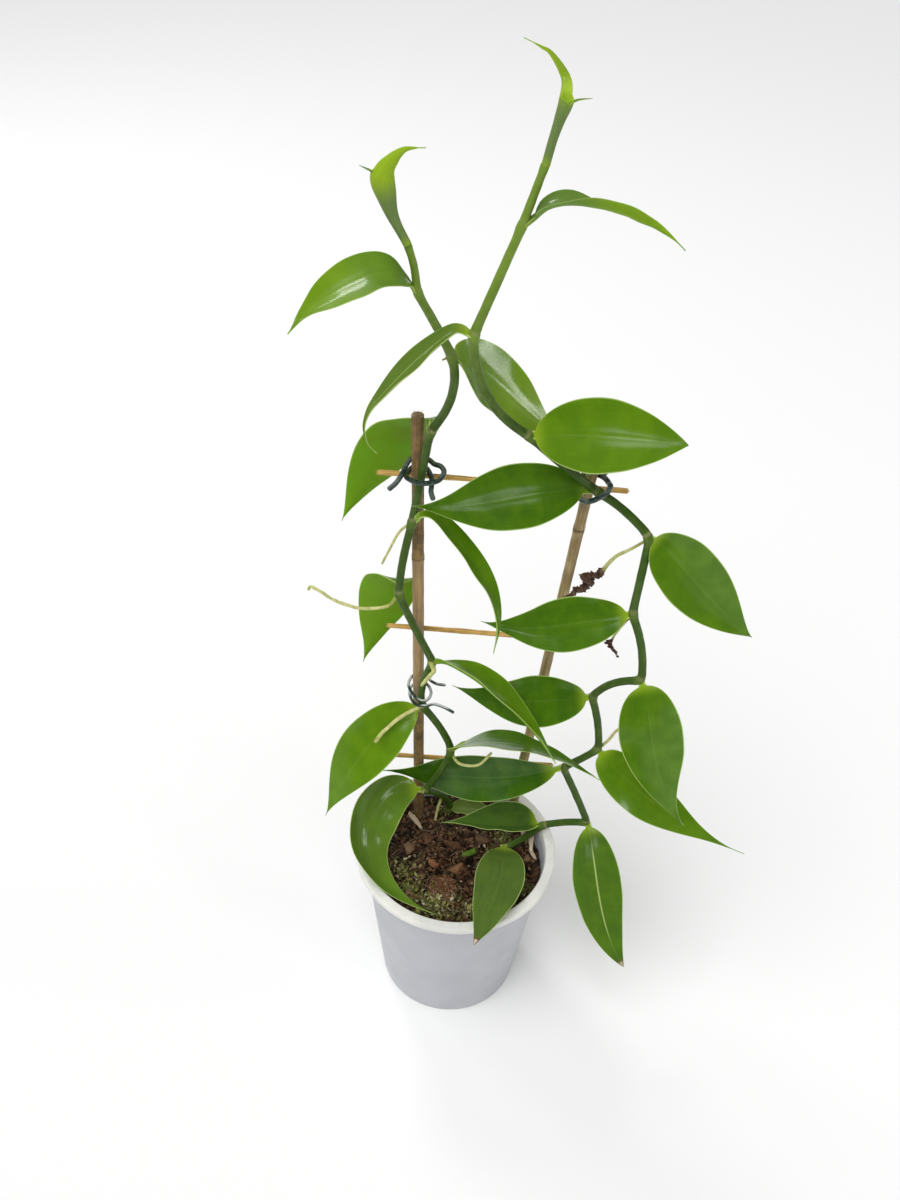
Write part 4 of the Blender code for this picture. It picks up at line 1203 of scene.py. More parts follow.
def wall_radius(z, height):
    """Outer radius of the pot's wall, which leans out evenly and steps in once below the rim."""
    share = z / (height - RIM_LIP)
    step = WALL_STEP * (1 - ease((z - WALL_STEP_Z) / WALL_STEP_HEIGHT + 0.5))
    return BASE_RADIUS + (WALL_TOP_RADIUS - BASE_RADIUS) * share - step


def rounded_outline(corners):
    """An outline with rounded corners. Each corner is a radius from the axis, a height and a rounding."""
    outline = []
    count = len(corners)
    for i, (r, z, rounding) in enumerate(corners):
        here = Vector((r, z))
        before = Vector(corners[i - 1][:2]) if i else here
        after = Vector(corners[i + 1][:2]) if i + 1 < count else here
        if not rounding or before == here or after == here:
            outline.append(here)
            continue
        back = (before - here).normalized() * min(rounding, (before - here).length * CORNER_SHARE)
        ahead = (after - here).normalized() * min(rounding, (after - here).length * CORNER_SHARE)
        for step in range(CORNER_STEPS + 1):
            t = step / CORNER_STEPS
            outline.append(here + back * (1 - t) ** 2 + ahead * t**2)
    return outline


def soil_height(x, y):
    """The lumpy top of the potting mix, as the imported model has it."""
    where = Vector((x, y, SOIL_Z))
    lumps = 0.7 * noise.noise(where * COARSE_BARK) + 0.4 * noise.noise(where * FINE_BARK)
    return SOIL_Z + SOIL_RELIEF * (lumps + 0.6 * noise.noise(where * SLOW_SWELL))


def random_vector(chooser):
    return Vector([chooser.gauss(0, 1) for _ in range(3)])


def random_hull(chooser, corners):
    """The hull of a few random points near a unit ball, in an order that is the same in every run."""
    work = bmesh.new()
    for _ in range(corners):
        way = random_vector(chooser).normalized()
        work.verts.new(way * chooser.uniform(0.8, 1.0))
    hull = bmesh.ops.convex_hull(work, input=work.verts)
    left_over = {v for v in hull["geom_interior"] + hull["geom_unused"] if isinstance(v, bmesh.types.BMVert)}
    bmesh.ops.delete(work, geom=list(left_over), context="VERTS")
    spots = sorted(tuple(v.co) for v in work.verts)
    faces = []
    for face in work.faces:
        ring = [spots.index(tuple(v.co)) for v in face.verts]
        first = ring.index(min(ring))
        faces.append(tuple(ring[first:] + ring[:first]))
    work.free()
    return [Vector(spot) for spot in spots], sorted(faces)


def cut_in_nine(points, triangles):
    """Each triangle as nine smaller ones. Points on an edge that two triangles share are made once."""
    made = {}
    finer, faces = [], []
    for corners in triangles:

        def at(i, j):
            key = tuple(sorted((k, n) for k, n in zip(corners, (3 - i - j, i, j)) if n))
            if key not in made:
                made[key] = len(finer)
                finer.append(sum((points[k] * n for k, n in key), Vector()) / 3)
            return made[key]

        for i in range(3):
            for j in range(3 - i):
                faces.append((at(i, j), at(i + 1, j), at(i, j + 1)))
                if i + j < 2:
                    faces.append((at(i + 1, j), at(i + 1, j + 1), at(i, j + 1)))
    return finer, faces


def add_chunk(shape, chooser, centre, size, state, corners=12, rough=0.0):
    """An angular crumb: a random hull, turned at random and settled on the mix."""
    spots, faces = random_hull(chooser, corners)
    if rough:
        spots, faces = cut_in_nine(spots, faces)
    turn = Matrix.Rotation(chooser.uniform(0, 2 * math.pi), 3, "Z")
    for axis in "XY":
        turn = turn @ Matrix.Rotation(chooser.gauss(0, CHUNK_TILT), 3, axis)
    middle = Vector([chooser.uniform(-40, 40) for _ in range(3)])
    points, unbent = [], []
    for spot in spots:
        local = Vector([c * s for c, s in zip(spot, size)])
        if rough:
            local += noise.noise_vector((local + middle) * CHUNK_GRAIN) * rough
        points.append(centre + turn @ local)
        unbent.append(tuple((Vector((local.y, local.z, local.x)) / MM + middle)))
    shape.add(points, faces, unbent, state)


def scatter(chooser, reach):
    """A random place on the mix, inside a radius."""
    angle = chooser.uniform(0, 2 * math.pi)
    r = reach * math.sqrt(chooser.uniform(0, 1))
    return r * math.cos(angle), r * math.sin(angle)


def now_and_then(chooser, share, low):
    """For this share of the pieces a random value from low up to 1, and zero for the others."""
    return chooser.uniform(low, 1.0) if chooser.random() < share else 0.0


def cane_point(ends, z):
    foot, top = ends
    return foot.lerp(top, (z - foot.z) / (top.z - foot.z))


def add_cane(shape, ends, radius, knuckles, stained):
    """A bamboo cane with a grooved ring and a swelling at each knuckle, and a flat fibrous cut on top. A
    stained cane is darker, but for the length between its upper two knuckles."""
    foot, top = ends
    rise = top.z - foot.z
    points, radii, states = [], [], []
    for i in range(CANE_STEPS + 1):
        z = foot.z + rise * i / CANE_STEPS
        near = min(knuckles, key=lambda k: abs(k - z))
        marks = {z}
        if abs(near - z) < rise / CANE_STEPS / 2:
            marks |= {near + d for d in KNUCKLE_MARKS}
        for height in sorted(marks):
            if foot.z <= height <= top.z:
                points.append(cane_point(ends, height))
    points.sort(key=lambda p: p.z)
    for p in points:
        gap = min((p.z - k for k in knuckles), key=abs)
        swell = KNUCKLE_SWELL * math.exp(-((gap / (KNUCKLE_REACH * 0.5)) ** 2))
        groove = GROOVE_DEPTH * math.exp(-((gap / GROOVE_WIDTH) ** 2))
        radii.append(radius * (1 + swell - groove))
        ring = math.exp(-((gap / STAIN_WIDTH) ** 2))
        fresh = ease((p.z - knuckles[1] - FRESH_FROM) / FRESH_OVER)
        fresh *= ease((knuckles[2] + STAINED_FROM - p.z) / STAINED_OVER)
        states.append((stained * (STAIN - FRESH_BAMBOO * fresh), ring, FRESH_SHINE * stained * fresh))
    inset = (top - foot).normalized()
    points += [top, top - inset * CUT_DEPTH]
    radii += [radius * 0.90, radius * 0.55]
    states += [(0.0, 0.0, 0.9), (0.0, 0.3, 0.9)]
    add_tube(shape, points, radii, CANE_SIDES, states, relief=CANE_RELIEF)


def add_splinters(shape, chooser, at, out, radius, count):
    """Frayed fibres where a stick was broken off."""
    for _ in range(count):
        side = random_vector(chooser)
        side = (side - out * side.dot(out)).normalized()
        start = at + side * radius * chooser.uniform(0.2, 0.8) - out * SPLINTER_ROOT
        length = chooser.uniform(*SPLINTER_LENGTHS)
        end = start + out * length + side * length * 0.12
        add_tube(shape, [start, start.lerp(end, 0.6), end], SPLINTER_RADII, 4, (0, 0, 0.5))


def vine_route(joints):
    """Evenly spaced points along a vine with its bends eased, each one's radius, the nodes' distances along
    it and its length."""
    dense, radii = [], []
    marks = [0.0]
    for below, above in zip(joints, joints[1:]):
        start, end, bow = place(*below.at), place(*above.at), place(*above.bow)
        for step in range(BOW_STEPS):
            t = step / BOW_STEPS
            dense.append(start.lerp(end, t) + bow * 4 * t * (1 - t))
            radii.append(below.radius + (above.radius - below.radius) * t)
        marks.append(len(dense))
    dense.append(place(*joints[-1].at))
    radii.append(joints[-1].radius)
    reached = [0.0]
    for a, b in zip(dense, dense[1:]):
        reached.append(reached[-1] + (b - a).length)
    nodes = [0.0] + [reached[min(mark, len(dense) - 1)] for mark in marks[1:]]
    count = int(reached[-1] / STEM_SPACING)
    points, widths = [], []
    k = 0
    for i in range(count + 1):
        wanted = reached[-1] * i / count
        while k < len(dense) - 2 and reached[k + 1] < wanted:
            k += 1
        share = (wanted - reached[k]) / max(reached[k + 1] - reached[k], 1e-9)
        points.append(dense[k].lerp(dense[k + 1], share))
        widths.append(radii[k] + (radii[k + 1] - radii[k]) * share)
    for _ in range(BEND_PASSES):
        inner = [(a + b * 2 + c) / 4 for a, b, c in zip(points, points[1:], points[2:])]
        points = [points[0], *inner, points[-1]]
    return points, widths, nodes, reached[-1]


def add_vine(shape, joints, swell, leafy_nodes):
    """A vine with a swelling and a sheath scar at every node, and a growing tip drawn out to a point."""
    points, widths, nodes, length = vine_route(joints)
    count = len(points) - 1
    radii, states = [], []
    for i, width in enumerate(widths):
        s = length * i / count
        gap = min((s - node for node in nodes[1:leafy_nodes]), key=abs)
        bulge = math.exp(-((gap / NODE_REACH) ** 2))
        ring = math.exp(-(((gap - SCAR_RISE) / SCAR_WIDTH) ** 2))
        radii.append(width + swell * bulge * (width / STEM_RADIUS) ** 2 - SCAR_DEPTH * ring)
        age = ease((points[i].z - YOUNG_FROM) / YOUNG_OVER)
        states.append((age, bulge * 0.6, ring * 0.7 * (1 - 0.6 * age)))
    add_tube(shape, points, radii, STEM_SIDES, states, relief=STEM_RELIEF)


def bezier(handles, t):
    a, b, c, d = handles
    u = 1 - t
    return a * u**3 + b * 3 * u * u * t + c * 3 * u * t * t + d * t**3


def rolled_section(roll, t):
    """A rolled leaf's radius at a share t of its length, and the angle of each half."""
    closed = 1 - ease((t - roll.opens) / roll.sweep + 0.5)
    if t < roll.opens:
        up = t / roll.opens
        radius = roll.foot + (roll.mouth - roll.foot) * ease(up**roll.flare)
    else:
        beyond = (t - roll.opens) / (1 - roll.opens)
        radius = roll.mouth * (1 - beyond**1.5) ** roll.taper
    curl = roll.spread + (CLOSED_ROLL - roll.spread) * closed
    return max(radius * MM, TIP_HALF_WIDTH), math.radians(curl)


def leaf_half_width(leaf, t):
    """Half the flat blade's width at a share t of its length: a rounded base and a long drawn-out tip."""
    if leaf.roll:
        radius, curl = rolled_section(leaf.roll, t)
        return radius * curl
    blade = 0.0
    if t > leaf.petiole:
        s = (t - leaf.petiole) / (1 - leaf.petiole)
        skew = math.log(0.5) / math.log(leaf.belly)
        wave = max(math.sin(math.pi * s**skew), 0.0)
        blade = leaf.width * MM / 2 * wave ** (BASE_POWER + (leaf.tip_power - BASE_POWER) * s)
    stalk = leaf.stalk * MM * max(1 - t * 1.2, 0.0)
    return max(math.hypot(blade, stalk), TIP_HALF_WIDTH)


@functools.lru_cache
def measured_route(route):
    """A smooth curve through points in millimetres, and each point's distance along it."""
    points = curve(route, 8)
    reached = [0.0]
    for a, b in zip(points, points[1:]):
        reached.append(reached[-1] + (b - a).length)
    return points, reached


def midrib_point(leaf, t):
    """The midrib's point at a share t of its length, on its own route or on a curve from base to tip."""
    if leaf.route:
        points, reached = measured_route(leaf.route)
        k = min(max(bisect.bisect(reached, t * reached[-1]) - 1, 0), len(points) - 2)
        share = (t * reached[-1] - reached[k]) / (reached[k + 1] - reached[k])
        return points[k].lerp(points[k + 1], share)
    base, reach = place(*leaf.base), place(*leaf.reach)
    handles = (
        base,
        base + reach / 3 + place(*leaf.bend_a),
        base + reach * 2 / 3 + place(*leaf.bend_b),
        base + reach,
    )
    return bezier(handles, t)


def leaf_frame(leaf, t):
    """The midrib's point, the direction across the blade and the direction its upper side faces."""
    step = 0.01
    along = (midrib_point(leaf, min(t + step, 1)) - midrib_point(leaf, max(t - step, 0))).normalized()
    face = Vector(leaf.face).lerp(Vector(leaf.face_tip or leaf.face), t)
    across = along.cross(face).normalized()
    return midrib_point(leaf, t), across, across.cross(along)


def leaf_point(leaf, t, u, wave):
    """The middle of the blade's thickness at a share t of its length, u from -1 to 1 across it, and the
    direction its upper side faces there. The section is an arc that opens upwards, sharpened by fold."""
    middle, across, normal = leaf_frame(leaf, t)
    if leaf.roll:
        radius, curl = rolled_section(leaf.roll, t)
        out = across * math.sin(curl * u) - normal * math.cos(curl * u)
        overlap = ROLL_OVERLAP * u * ease((leaf.roll.opens - t) * 6 + 0.5)
        return middle + out * radius * (1 + overlap), -out
    curl_tip = leaf.curl if leaf.curl_tip is None else leaf.curl_tip
    curl = leaf.curl + (curl_tip - leaf.curl) * t
    curl += max(BASE_CURL - curl, 0.0) * ease(1 - t / (leaf.petiole + 0.035))
    curl = math.radians(curl)
    half = leaf_half_width(leaf, t)
    radius = half / curl
    angle = curl * u
    round_at = across * (radius * math.sin(angle)) + normal * (radius * (1 - math.cos(angle)))
    round_normal = normal * math.cos(angle) - across * math.sin(angle)
    slope = curl * 0.5 * (1 if u > 0 else -1)
    flat_at = across * (half * u * math.cos(slope)) + normal * (half * abs(u) * math.sin(abs(slope)))
    share = leaf.fold * ease(abs(u) / 0.25)
    at = round_at.lerp(flat_at, leaf.fold)
    flat_normal = normal * math.cos(slope) - across * math.sin(slope)
    facing = round_normal.lerp(flat_normal, share).normalized()
    edge = abs(u) ** 2.2 * math.sin(math.pi * t) ** 0.5
    lag = WAVE_LAG if u > 0 else 0.0
    ripple = math.sin(t * SLOW_WAVE + lag + leaf.width)
    ripple += 0.6 * math.sin(t * QUICK_WAVE + lag * 2 + leaf.base[2])
    return middle + at + facing * (wave * edge * ripple), facing


def add_leaf(shape, leaf, settings):
    """A closed blade with a groove along the midrib above, a keel below and thin rounded margins."""
    rolled = leaf.roll is not None
    columns = ROLLED_LEAF_ACROSS if rolled else LEAF_ACROSS
    stations = ROLLED_LEAF_STATIONS if rolled else LEAF_STATIONS
    upper, lower, unbent, zones = [], [], [], []
    length = Vector(leaf.reach).length * MIDRIB_SLACK
    for i in range(stations + 1):
        even = i / stations
        t = (1 - END_CROWDING) * even + END_CROWDING * (0.5 - 0.5 * math.cos(math.pi * even))
        stalk = max(1 - t / (2 * leaf.petiole), 0.0) if not rolled else 0.0
        half = leaf_half_width(leaf, t)
        groove = GROOVE_IN_BLADE * ease(half / 0.004) * (1 - 0.7 * t)
        for j in range(columns + 1):
            x = 2 * j / columns - 1
            u = math.copysign(abs(x) ** 1.2, x)
            thick = settings.thickness + (settings.edge - settings.thickness) * abs(u)
            thick *= 1 - MARGIN_THINNING * abs(u) ** 10
            if rolled:
                thick = min(settings.edge * (1.2 - 0.4 * abs(u)), half * 0.8)
            thick += (PETIOLE_THICKNESS - settings.thickness) * stalk * (1 - 0.5 * abs(u))
            thick = min(thick, 0.35 * half / TIP_HALF_WIDTH * 0.0006 + 0.0003)
            at, normal = leaf_point(leaf, t, u, 0.0 if rolled else settings.wave)
            dip = 0.0 if rolled else math.exp(-((u * half / GROOVE_HALF_WIDTH) ** 2))
            quilt = 0.0 if rolled else QUILTING * math.cos(u * 9.0) * math.sin(math.pi * t) * (1 - abs(u))
            upper.append(at + normal * (thick / 2 - groove * dip + quilt))
            lower.append(at - normal * (thick / 2 + 0.6 * groove * dip - quilt))
            unbent.append((u * half / MM, leaf.base[0], t * length))
            zones.append((u, t))
    row = columns + 1
    size = len(upper)
    faces = []
    for i in range(stations):
        for j in range(columns):
            a = i * row + j
            corners = (a, a + 1, a + row + 1, a + row)
            faces.append(corners)
            faces.append(tuple(size + k for k in reversed(corners)))
    rim = [i * row for i in range(stations + 1)]
    rim += [stations * row + j for j in range(1, row)]
    rim += [i * row + row - 1 for i in range(stations - 1, -1, -1)]
    rim += [j for j in range(row - 2, 0, -1)]
    for a, b in zip(rim, rim[1:] + rim[:1]):
        faces.append((a, b, size + b, size + a))
    zone = [(u, t, 0.0) for u, t in zones] + [(u, t, 1.0) for u, t in zones]
    shape.add(
        upper + lower, faces, unbent * 2, [(leaf.tone, leaf.dull, leaf.rib)] * (2 * size), zone,
        [(leaf.dry, leaf.glow, 0)] * (2 * size),
    )


def add_bed(shape, top_radius, foot_radius):
    """The body of the mix: a lumpy top that drops a little at the wall, and sides down to the floor."""
    points = [Vector((0, 0, soil_height(0, 0)))]
    states = [(0.3, 0, 0)]
    for ring in range(1, BED_RINGS + 1):
        r = top_radius * ring / BED_RINGS
        for c, s in circle(BED_SIDES):
            x, y = r * c, r * s
            where = Vector((x, y, 0))
            fine = [noise.noise(where * fineness) * lift for lift, fineness in BED_RELIEFS]
            z = soil_height(x, y) + sum(fine)
            if ring == BED_RINGS:
                z -= BED_EDGE_DROP
            # The bed is mostly dark, with few light patches: wet mix, and painted shade between the lumps.
            points.append(Vector((x, y, z)))
            dry = BED_LIGHT
            for fineness in LIGHT_PATCHES:
                dry += 0.9 * noise.noise(where * fineness)
            red = noise.noise(where * RED_PATCHES + UP) - BED_RED_FROM
            states.append((max(dry, 0), max(red, 0), 0))
    foot_z = FLOOR + BED_LIFT
    points += [Vector((foot_radius * c, foot_radius * s, foot_z)) for c, s in circle(BED_SIDES)]
    states += [(0.2, 0, 0)] * BED_SIDES
    faces = [(0, 1 + k, 1 + (k + 1) % BED_SIDES) for k in range(BED_SIDES)]
    for ring in range(BED_RINGS):
        a = 1 + ring * BED_SIDES
        for k in range(BED_SIDES):
            n = (k + 1) % BED_SIDES
            faces.append((a + k, a + BED_SIDES + k, a + BED_SIDES + n, a + n))
    last = 1 + BED_RINGS * BED_SIDES
    faces.append(tuple(range(last + BED_SIDES - 1, last - 1, -1)))
    shape.add(points, faces, [tuple(p / MM) for p in points], states)


def add_fibre(shape, chooser, x, y, massed):
    """A thin bent fibre that lies on the mix. Those in the mass are shorter, thicker and browner."""
    angle = chooser.uniform(0, 2 * math.pi)
    length = chooser.uniform(*FIBRE_LENGTHS) * (MASSED_SHORTER if massed else 1.0)
    way = Vector((math.cos(angle), math.sin(angle), 0))
    bend = Vector((-way.y, way.x, 0)) * length * chooser.uniform(-0.35, 0.35)
    route = []
    for share in (0.0, 0.33, 0.66, 1.0):
        at = Vector((x, y, 0)) + way * length * (share - 0.5) + bend * 4 * share * (1 - share)
        lift = FIBRE_LIFT + FIBRE_ARCH * math.sin(math.pi * share) * chooser.uniform(0.2, 1)
        route.append(Vector((at.x, at.y, soil_height(at.x, at.y) + lift)))
    thick = chooser.uniform(*FIBRE_RADII)
    tint = (chooser.uniform(0.6, 1), chooser.uniform(0, 0.4), chooser.uniform(0.0, 0.7))
    if massed:
        straw = now_and_then(chooser, PALE_FIBRES, 0.6)
        tint = (chooser.uniform(0.2, 1), chooser.uniform(0.3, 0.9), straw)
        thick *= MASSED_THICKER
    add_tube(shape, smooth_route(route, 2), [thick] * 6 + [thick * 0.4], 4, tint)


def add_moss_leaf(shape, chooser, at):
    """A tiny closed spindle that leans out from the moss."""
    length = chooser.uniform(*MOSS_LENGTHS)
    out = Vector((chooser.gauss(0, 0.7), chooser.gauss(0, 0.7), chooser.uniform(0.35, 1.0))).normalized()
    side = out.orthogonal().normalized()
    side = Matrix.Rotation(chooser.uniform(0, 6.3), 3, out) @ side  # any turn about the stalk
    other = out.cross(side)
    width = length * chooser.uniform(0.18, 0.30)
    pale = now_and_then(chooser, PALE_MOSS, 0.4)
    middle = at + out * length * 0.5
    points = [
        at, middle + side * width, middle - side * width,
        middle + other * width * 0.35, middle - other * width * 0.35, at + out * length,
    ]
    faces = [(0, 1, 3), (0, 3, 2), (0, 2, 4), (0, 4, 1), (5, 3, 1), (5, 2, 3), (5, 4, 2), (5, 1, 4)]
    shape.add(points, faces, [tuple(p / MM) for p in points], (chooser.uniform(0, 1) ** 1.9, pale, 0))


def add_husk(shape, chooser, route, width, state):
    """A curled strip of dry sheath with a ragged end."""
    points = curve(route, 6)
    count = len(points)
    radii = []
    for i in range(count):
        share = i / (count - 1)
        radii.append(width / 2 * (0.35 + 0.65 * math.sin(math.pi * min(share * 0.8 + 0.15, 1.0))))
    add_tube(shape, points, radii, SCRAP_SIDES, state, oval=0.28, relief=HUSK_RELIEF)
    way = (points[-1] - points[-2]).normalized()
    add_splinters(shape, chooser, points[-1], way, width / 3, 4)


class ORCHID_OT_pot(Operator):
    """Builds the moulded nursery pot with its rim, step and drain holes"""

    bl_idname = "orchid.pot"
    bl_label = "Pot"

    def execute(self, context):
        pot = context.scene.orchid_pot
        height, rim, wall = pot.height, pot.rim_radius, pot.wall
        lip_z = height - RIM_LIP
        corners = [
            (0.0, 0.0, 0),
            (wall_radius(0, height), 0.0, FOOT_ROUNDING),
            (wall_radius(WALL_STEP_Z - STEP_EDGE, height), WALL_STEP_Z - STEP_EDGE, EDGE_ROUNDING),
            (wall_radius(WALL_STEP_Z + STEP_EDGE, height), WALL_STEP_Z + STEP_EDGE, EDGE_ROUNDING),
            (WALL_TOP_RADIUS, height - wall, FOLD_ROUNDING),
            (rim - wall, height - wall, FOLD_ROUNDING),
            (rim - wall, lip_z, EDGE_ROUNDING),
            (rim, lip_z, EDGE_ROUNDING),
            (rim, height, RIM_ROUNDING),
            (RIM_INNER_RADIUS, height, RIM_ROUNDING),
            (wall_radius(FLOOR, height) - wall, FLOOR, FLOOR_ROUNDING),
            (0.0, FLOOR, 0),
        ]
        outline = rounded_outline(corners)
        points = [Vector((0, 0, 0))]
        for r, z in outline[1:-1]:
            points += [Vector((r * c, r * s, z)) for c, s in circle(POT_SIDES)]
        points.append(Vector((0, 0, FLOOR)))
        last = len(points) - 1
        faces = []
        for k in range(POT_SIDES):
            n = (k + 1) % POT_SIDES
            faces.append((0, 1 + n, 1 + k))
            faces.append((last, last - POT_SIDES + k, last - POT_SIDES + n))
            for ring in range(len(outline) - 3):
                a = 1 + ring * POT_SIDES
                faces.append((a + k, a + n, a + POT_SIDES + n, a + POT_SIDES + k))
        shape = Shape()
        shape.add(points, faces, [tuple(p / MM) for p in points])
        made = shape.stand("pot_shell", pot_finish(pot), "pot", "pot")
        drills = Shape()
        for k in range(DRAIN_HOLES):
            angle = 2 * math.pi * (k + 0.5) / DRAIN_HOLES
            centre = Vector((math.cos(angle), math.sin(angle), 0)) * DRAIN_RING_RADIUS
            route = [centre - UP * FLOOR, centre + UP * 2 * FLOOR]
            add_tube(drills, route, [DRAIN_HOLE_RADIUS] * 2, DRAIN_SIDES)
        cutter = put_in("drain_drills", drills.mesh("drain_drills"))
        cut = made.modifiers.new("Drain holes", "BOOLEAN")
        cut.operation = "DIFFERENCE"
        cut.solver = "EXACT"
        cut.object = cutter
        context.view_layer.update()
        done = bpy.data.meshes.new_from_object(made.evaluated_get(context.evaluated_depsgraph_get()))
        made.modifiers.clear()
        made.data = done
        bpy.data.objects.remove(cutter)
        done.shade_smooth()
        done.set_sharp_from_angle(angle=math.radians(POT_SMOOTH_BELOW))
        return {"FINISHED"}


class ORCHID_OT_soil(Operator):
    """Builds the potting mix with its bark chips, crumbs, fibres, moss and dried husks"""

    bl_idname = "orchid.soil"
    bl_label = "Potting mix"

    def execute(self, context):
        soil = context.scene.orchid_soil
        pot = context.scene.orchid_pot
        chooser = random.Random(SOIL_SEED)
        dark, light = soil.earth_and_shade_colour, soil.bark_colour
        bark = bark_finish("Bark mix", dark, light)
        inner_foot = wall_radius(FLOOR, pot.height) - pot.wall
        lean = (RIM_INNER_RADIUS - inner_foot) / (pot.height - FLOOR)
        top_radius = inner_foot + lean * (SOIL_Z - FLOOR) - BED_GAP_TOP
        foot_radius = inner_foot - BED_GAP_FOOT
        bed = Shape()
        add_bed(bed, top_radius, foot_radius)
        bed.stand("mix_bed", bark, "soil", "soil", smooth=False)

        chips = Shape()
        for _ in range(soil.chips):
            x, y = scatter(chooser, top_radius - CHIP_MARGIN)
            length = soil.chip_length * chooser.uniform(0.35, 1.0)
            size = (length / 2, length * chooser.uniform(0.22, 0.38), length * chooser.uniform(0.12, 0.26))
            red = max(chooser.gauss(0.05, 0.35), 0)
            pale = 0.5 if chooser.random() < PALE_CHIPS else 0.0
            at = Vector((x, y, soil_height(x, y) + size[2] * 0.25))
            state = (chooser.uniform(0.1, 1.0) ** 1.7, min(red, 0.8), pale)
            add_chunk(chips, chooser, at, size, state, 14, CHIP_ROUGHNESS)
        for (x, y), length, state in CHOSEN_CHIPS:
            size = (length * MM / 2, length * MM * 0.36, length * MM * 0.22)
            at = Vector((x * MM, y * MM, soil_height(x * MM, y * MM) + size[2] * 0.55))
            add_chunk(chips, chooser, at, size, state, 16, CHOSEN_ROUGHNESS)
        chips.stand("bark_chips", bark, "crumbs", smooth=False)

        crumbs = Shape()
        for _ in range(soil.crumbs):
            x, y = scatter(chooser, top_radius - CRUMB_MARGIN)
            length = chooser.uniform(*CRUMB_LENGTHS)
            size = (length / 2, length * chooser.uniform(0.3, 0.45), length * chooser.uniform(0.2, 0.4))
            pale = now_and_then(chooser, PALE_CRUMBS, 0.5)
            at = Vector((x, y, soil_height(x, y) + size[2] * 0.6))
            state = (chooser.uniform(0, 1) ** 1.6, chooser.uniform(0, 0.5), pale)
            add_chunk(crumbs, chooser, at, size, state, 9)
        crumbs.stand("bark_crumbs", bark, "crumbs", smooth=False)

        fibres = Shape()
        middle, spread, count = FIBRE_MASS
        for number in range(soil.fibres + count):
            massed = number >= soil.fibres
            x, y = scatter(chooser, spread * MM if massed else top_radius - FIBRE_MARGIN)
            if massed:
                x, y = x + middle[0] * MM, y + middle[1] * MM
            add_fibre(fibres, chooser, x, y, massed)
        fibres.stand("loose_fibres", bark, "crumbs")

        moss = Shape()
        for (x, y), spread, count in MOSS_PATCHES:
            for _ in range(count):
                away = chooser.gauss(0, spread * MM / 2)
                angle = chooser.uniform(0, 2 * math.pi)
                px, py = x * MM + away * math.cos(angle), y * MM + away * math.sin(angle)
                if math.hypot(px, py) > top_radius - CRUMB_MARGIN:
                    continue
                add_moss_leaf(moss, chooser, Vector((px, py, soil_height(px, py) + MOSS_LIFT)))
        moss.stand("moss", moss_finish(soil), "soil")

        husks = Shape()
        for route, width, state in HUSKS:
            add_husk(husks, chooser, route, width * MM, state)
        husks.stand("dried_husks", bark_finish("Dry sheath", dark, light, pale=BLEACHED), "crumbs")
        return {"FINISHED"}


class ORCHID_OT_ladder(Operator):
    """Builds the bamboo ladder: two canes, and three split rungs across their backs"""

    bl_idname = "orchid.ladder"
    bl_label = "Bamboo ladder"

    def execute(self, context):
        ladder = context.scene.orchid_ladder
        chooser = random.Random(LADDER_SEED)
        brown = ladder.weathered_colour
        skin = bamboo_finish("Bamboo cane", ladder.cane_colour, brown, 0.7)
        bleached = bamboo_finish("Bleached cane", ladder.bleached_colour, shade(brown, 1.4), 0.5)
        split = bamboo_finish("Split bamboo", ladder.rung_colour, ladder.cane_colour, 0.45)
        for name, node, ends, radius, knuckles, coat, stained in (
            ("bamboo_left", "cane_left", CANE_LEFT, ladder.left_radius, KNUCKLES_LEFT, skin, 1.0),
            ("bamboo_right", "cane_right", CANE_RIGHT, ladder.right_radius, KNUCKLES_RIGHT, bleached, 0.0),
        ):
            shape = Shape()
            add_cane(shape, ends, radius, knuckles, stained)
            out = (ends[1] - ends[0]).normalized()
            add_splinters(shape, chooser, ends[1], out, radius * 1.1, CANE_SPLINTERS)
            shape.stand(name, coat, "bamboo", node)
        for name, left, right in RUNGS:
            ends = []
            for (x, z), cane, radius in (
                (left, CANE_LEFT, ladder.left_radius), (right, CANE_RIGHT, ladder.right_radius),
            ):
                y = cane_point(cane, z).y + radius + RUNG_GAP + ladder.rung_radius
                ends.append(Vector((x, y, z)))
            start, end = ends
            points, radii = [], []
            for i in range(RUNG_STEPS + 1):
                points.append(start.lerp(end, i / RUNG_STEPS))
                radii.append(ladder.rung_radius * (0.94 + 0.05 * math.sin(i * 0.7 + start.z * 90)))
            shape = Shape()
            add_tube(shape, points, radii, RUNG_SIDES, (0, 0, 0), oval=0.9, relief=RUNG_RELIEF)
            out = (end - start).normalized()
            for at, way in ((start, -out), (end, out)):
                add_splinters(shape, chooser, at, way, ladder.rung_radius * 0.8, RUNG_SPLINTERS)
            shape.stand("split_" + name, split, "split_bamboo", "rung_" + name)
        return {"FINISHED"}


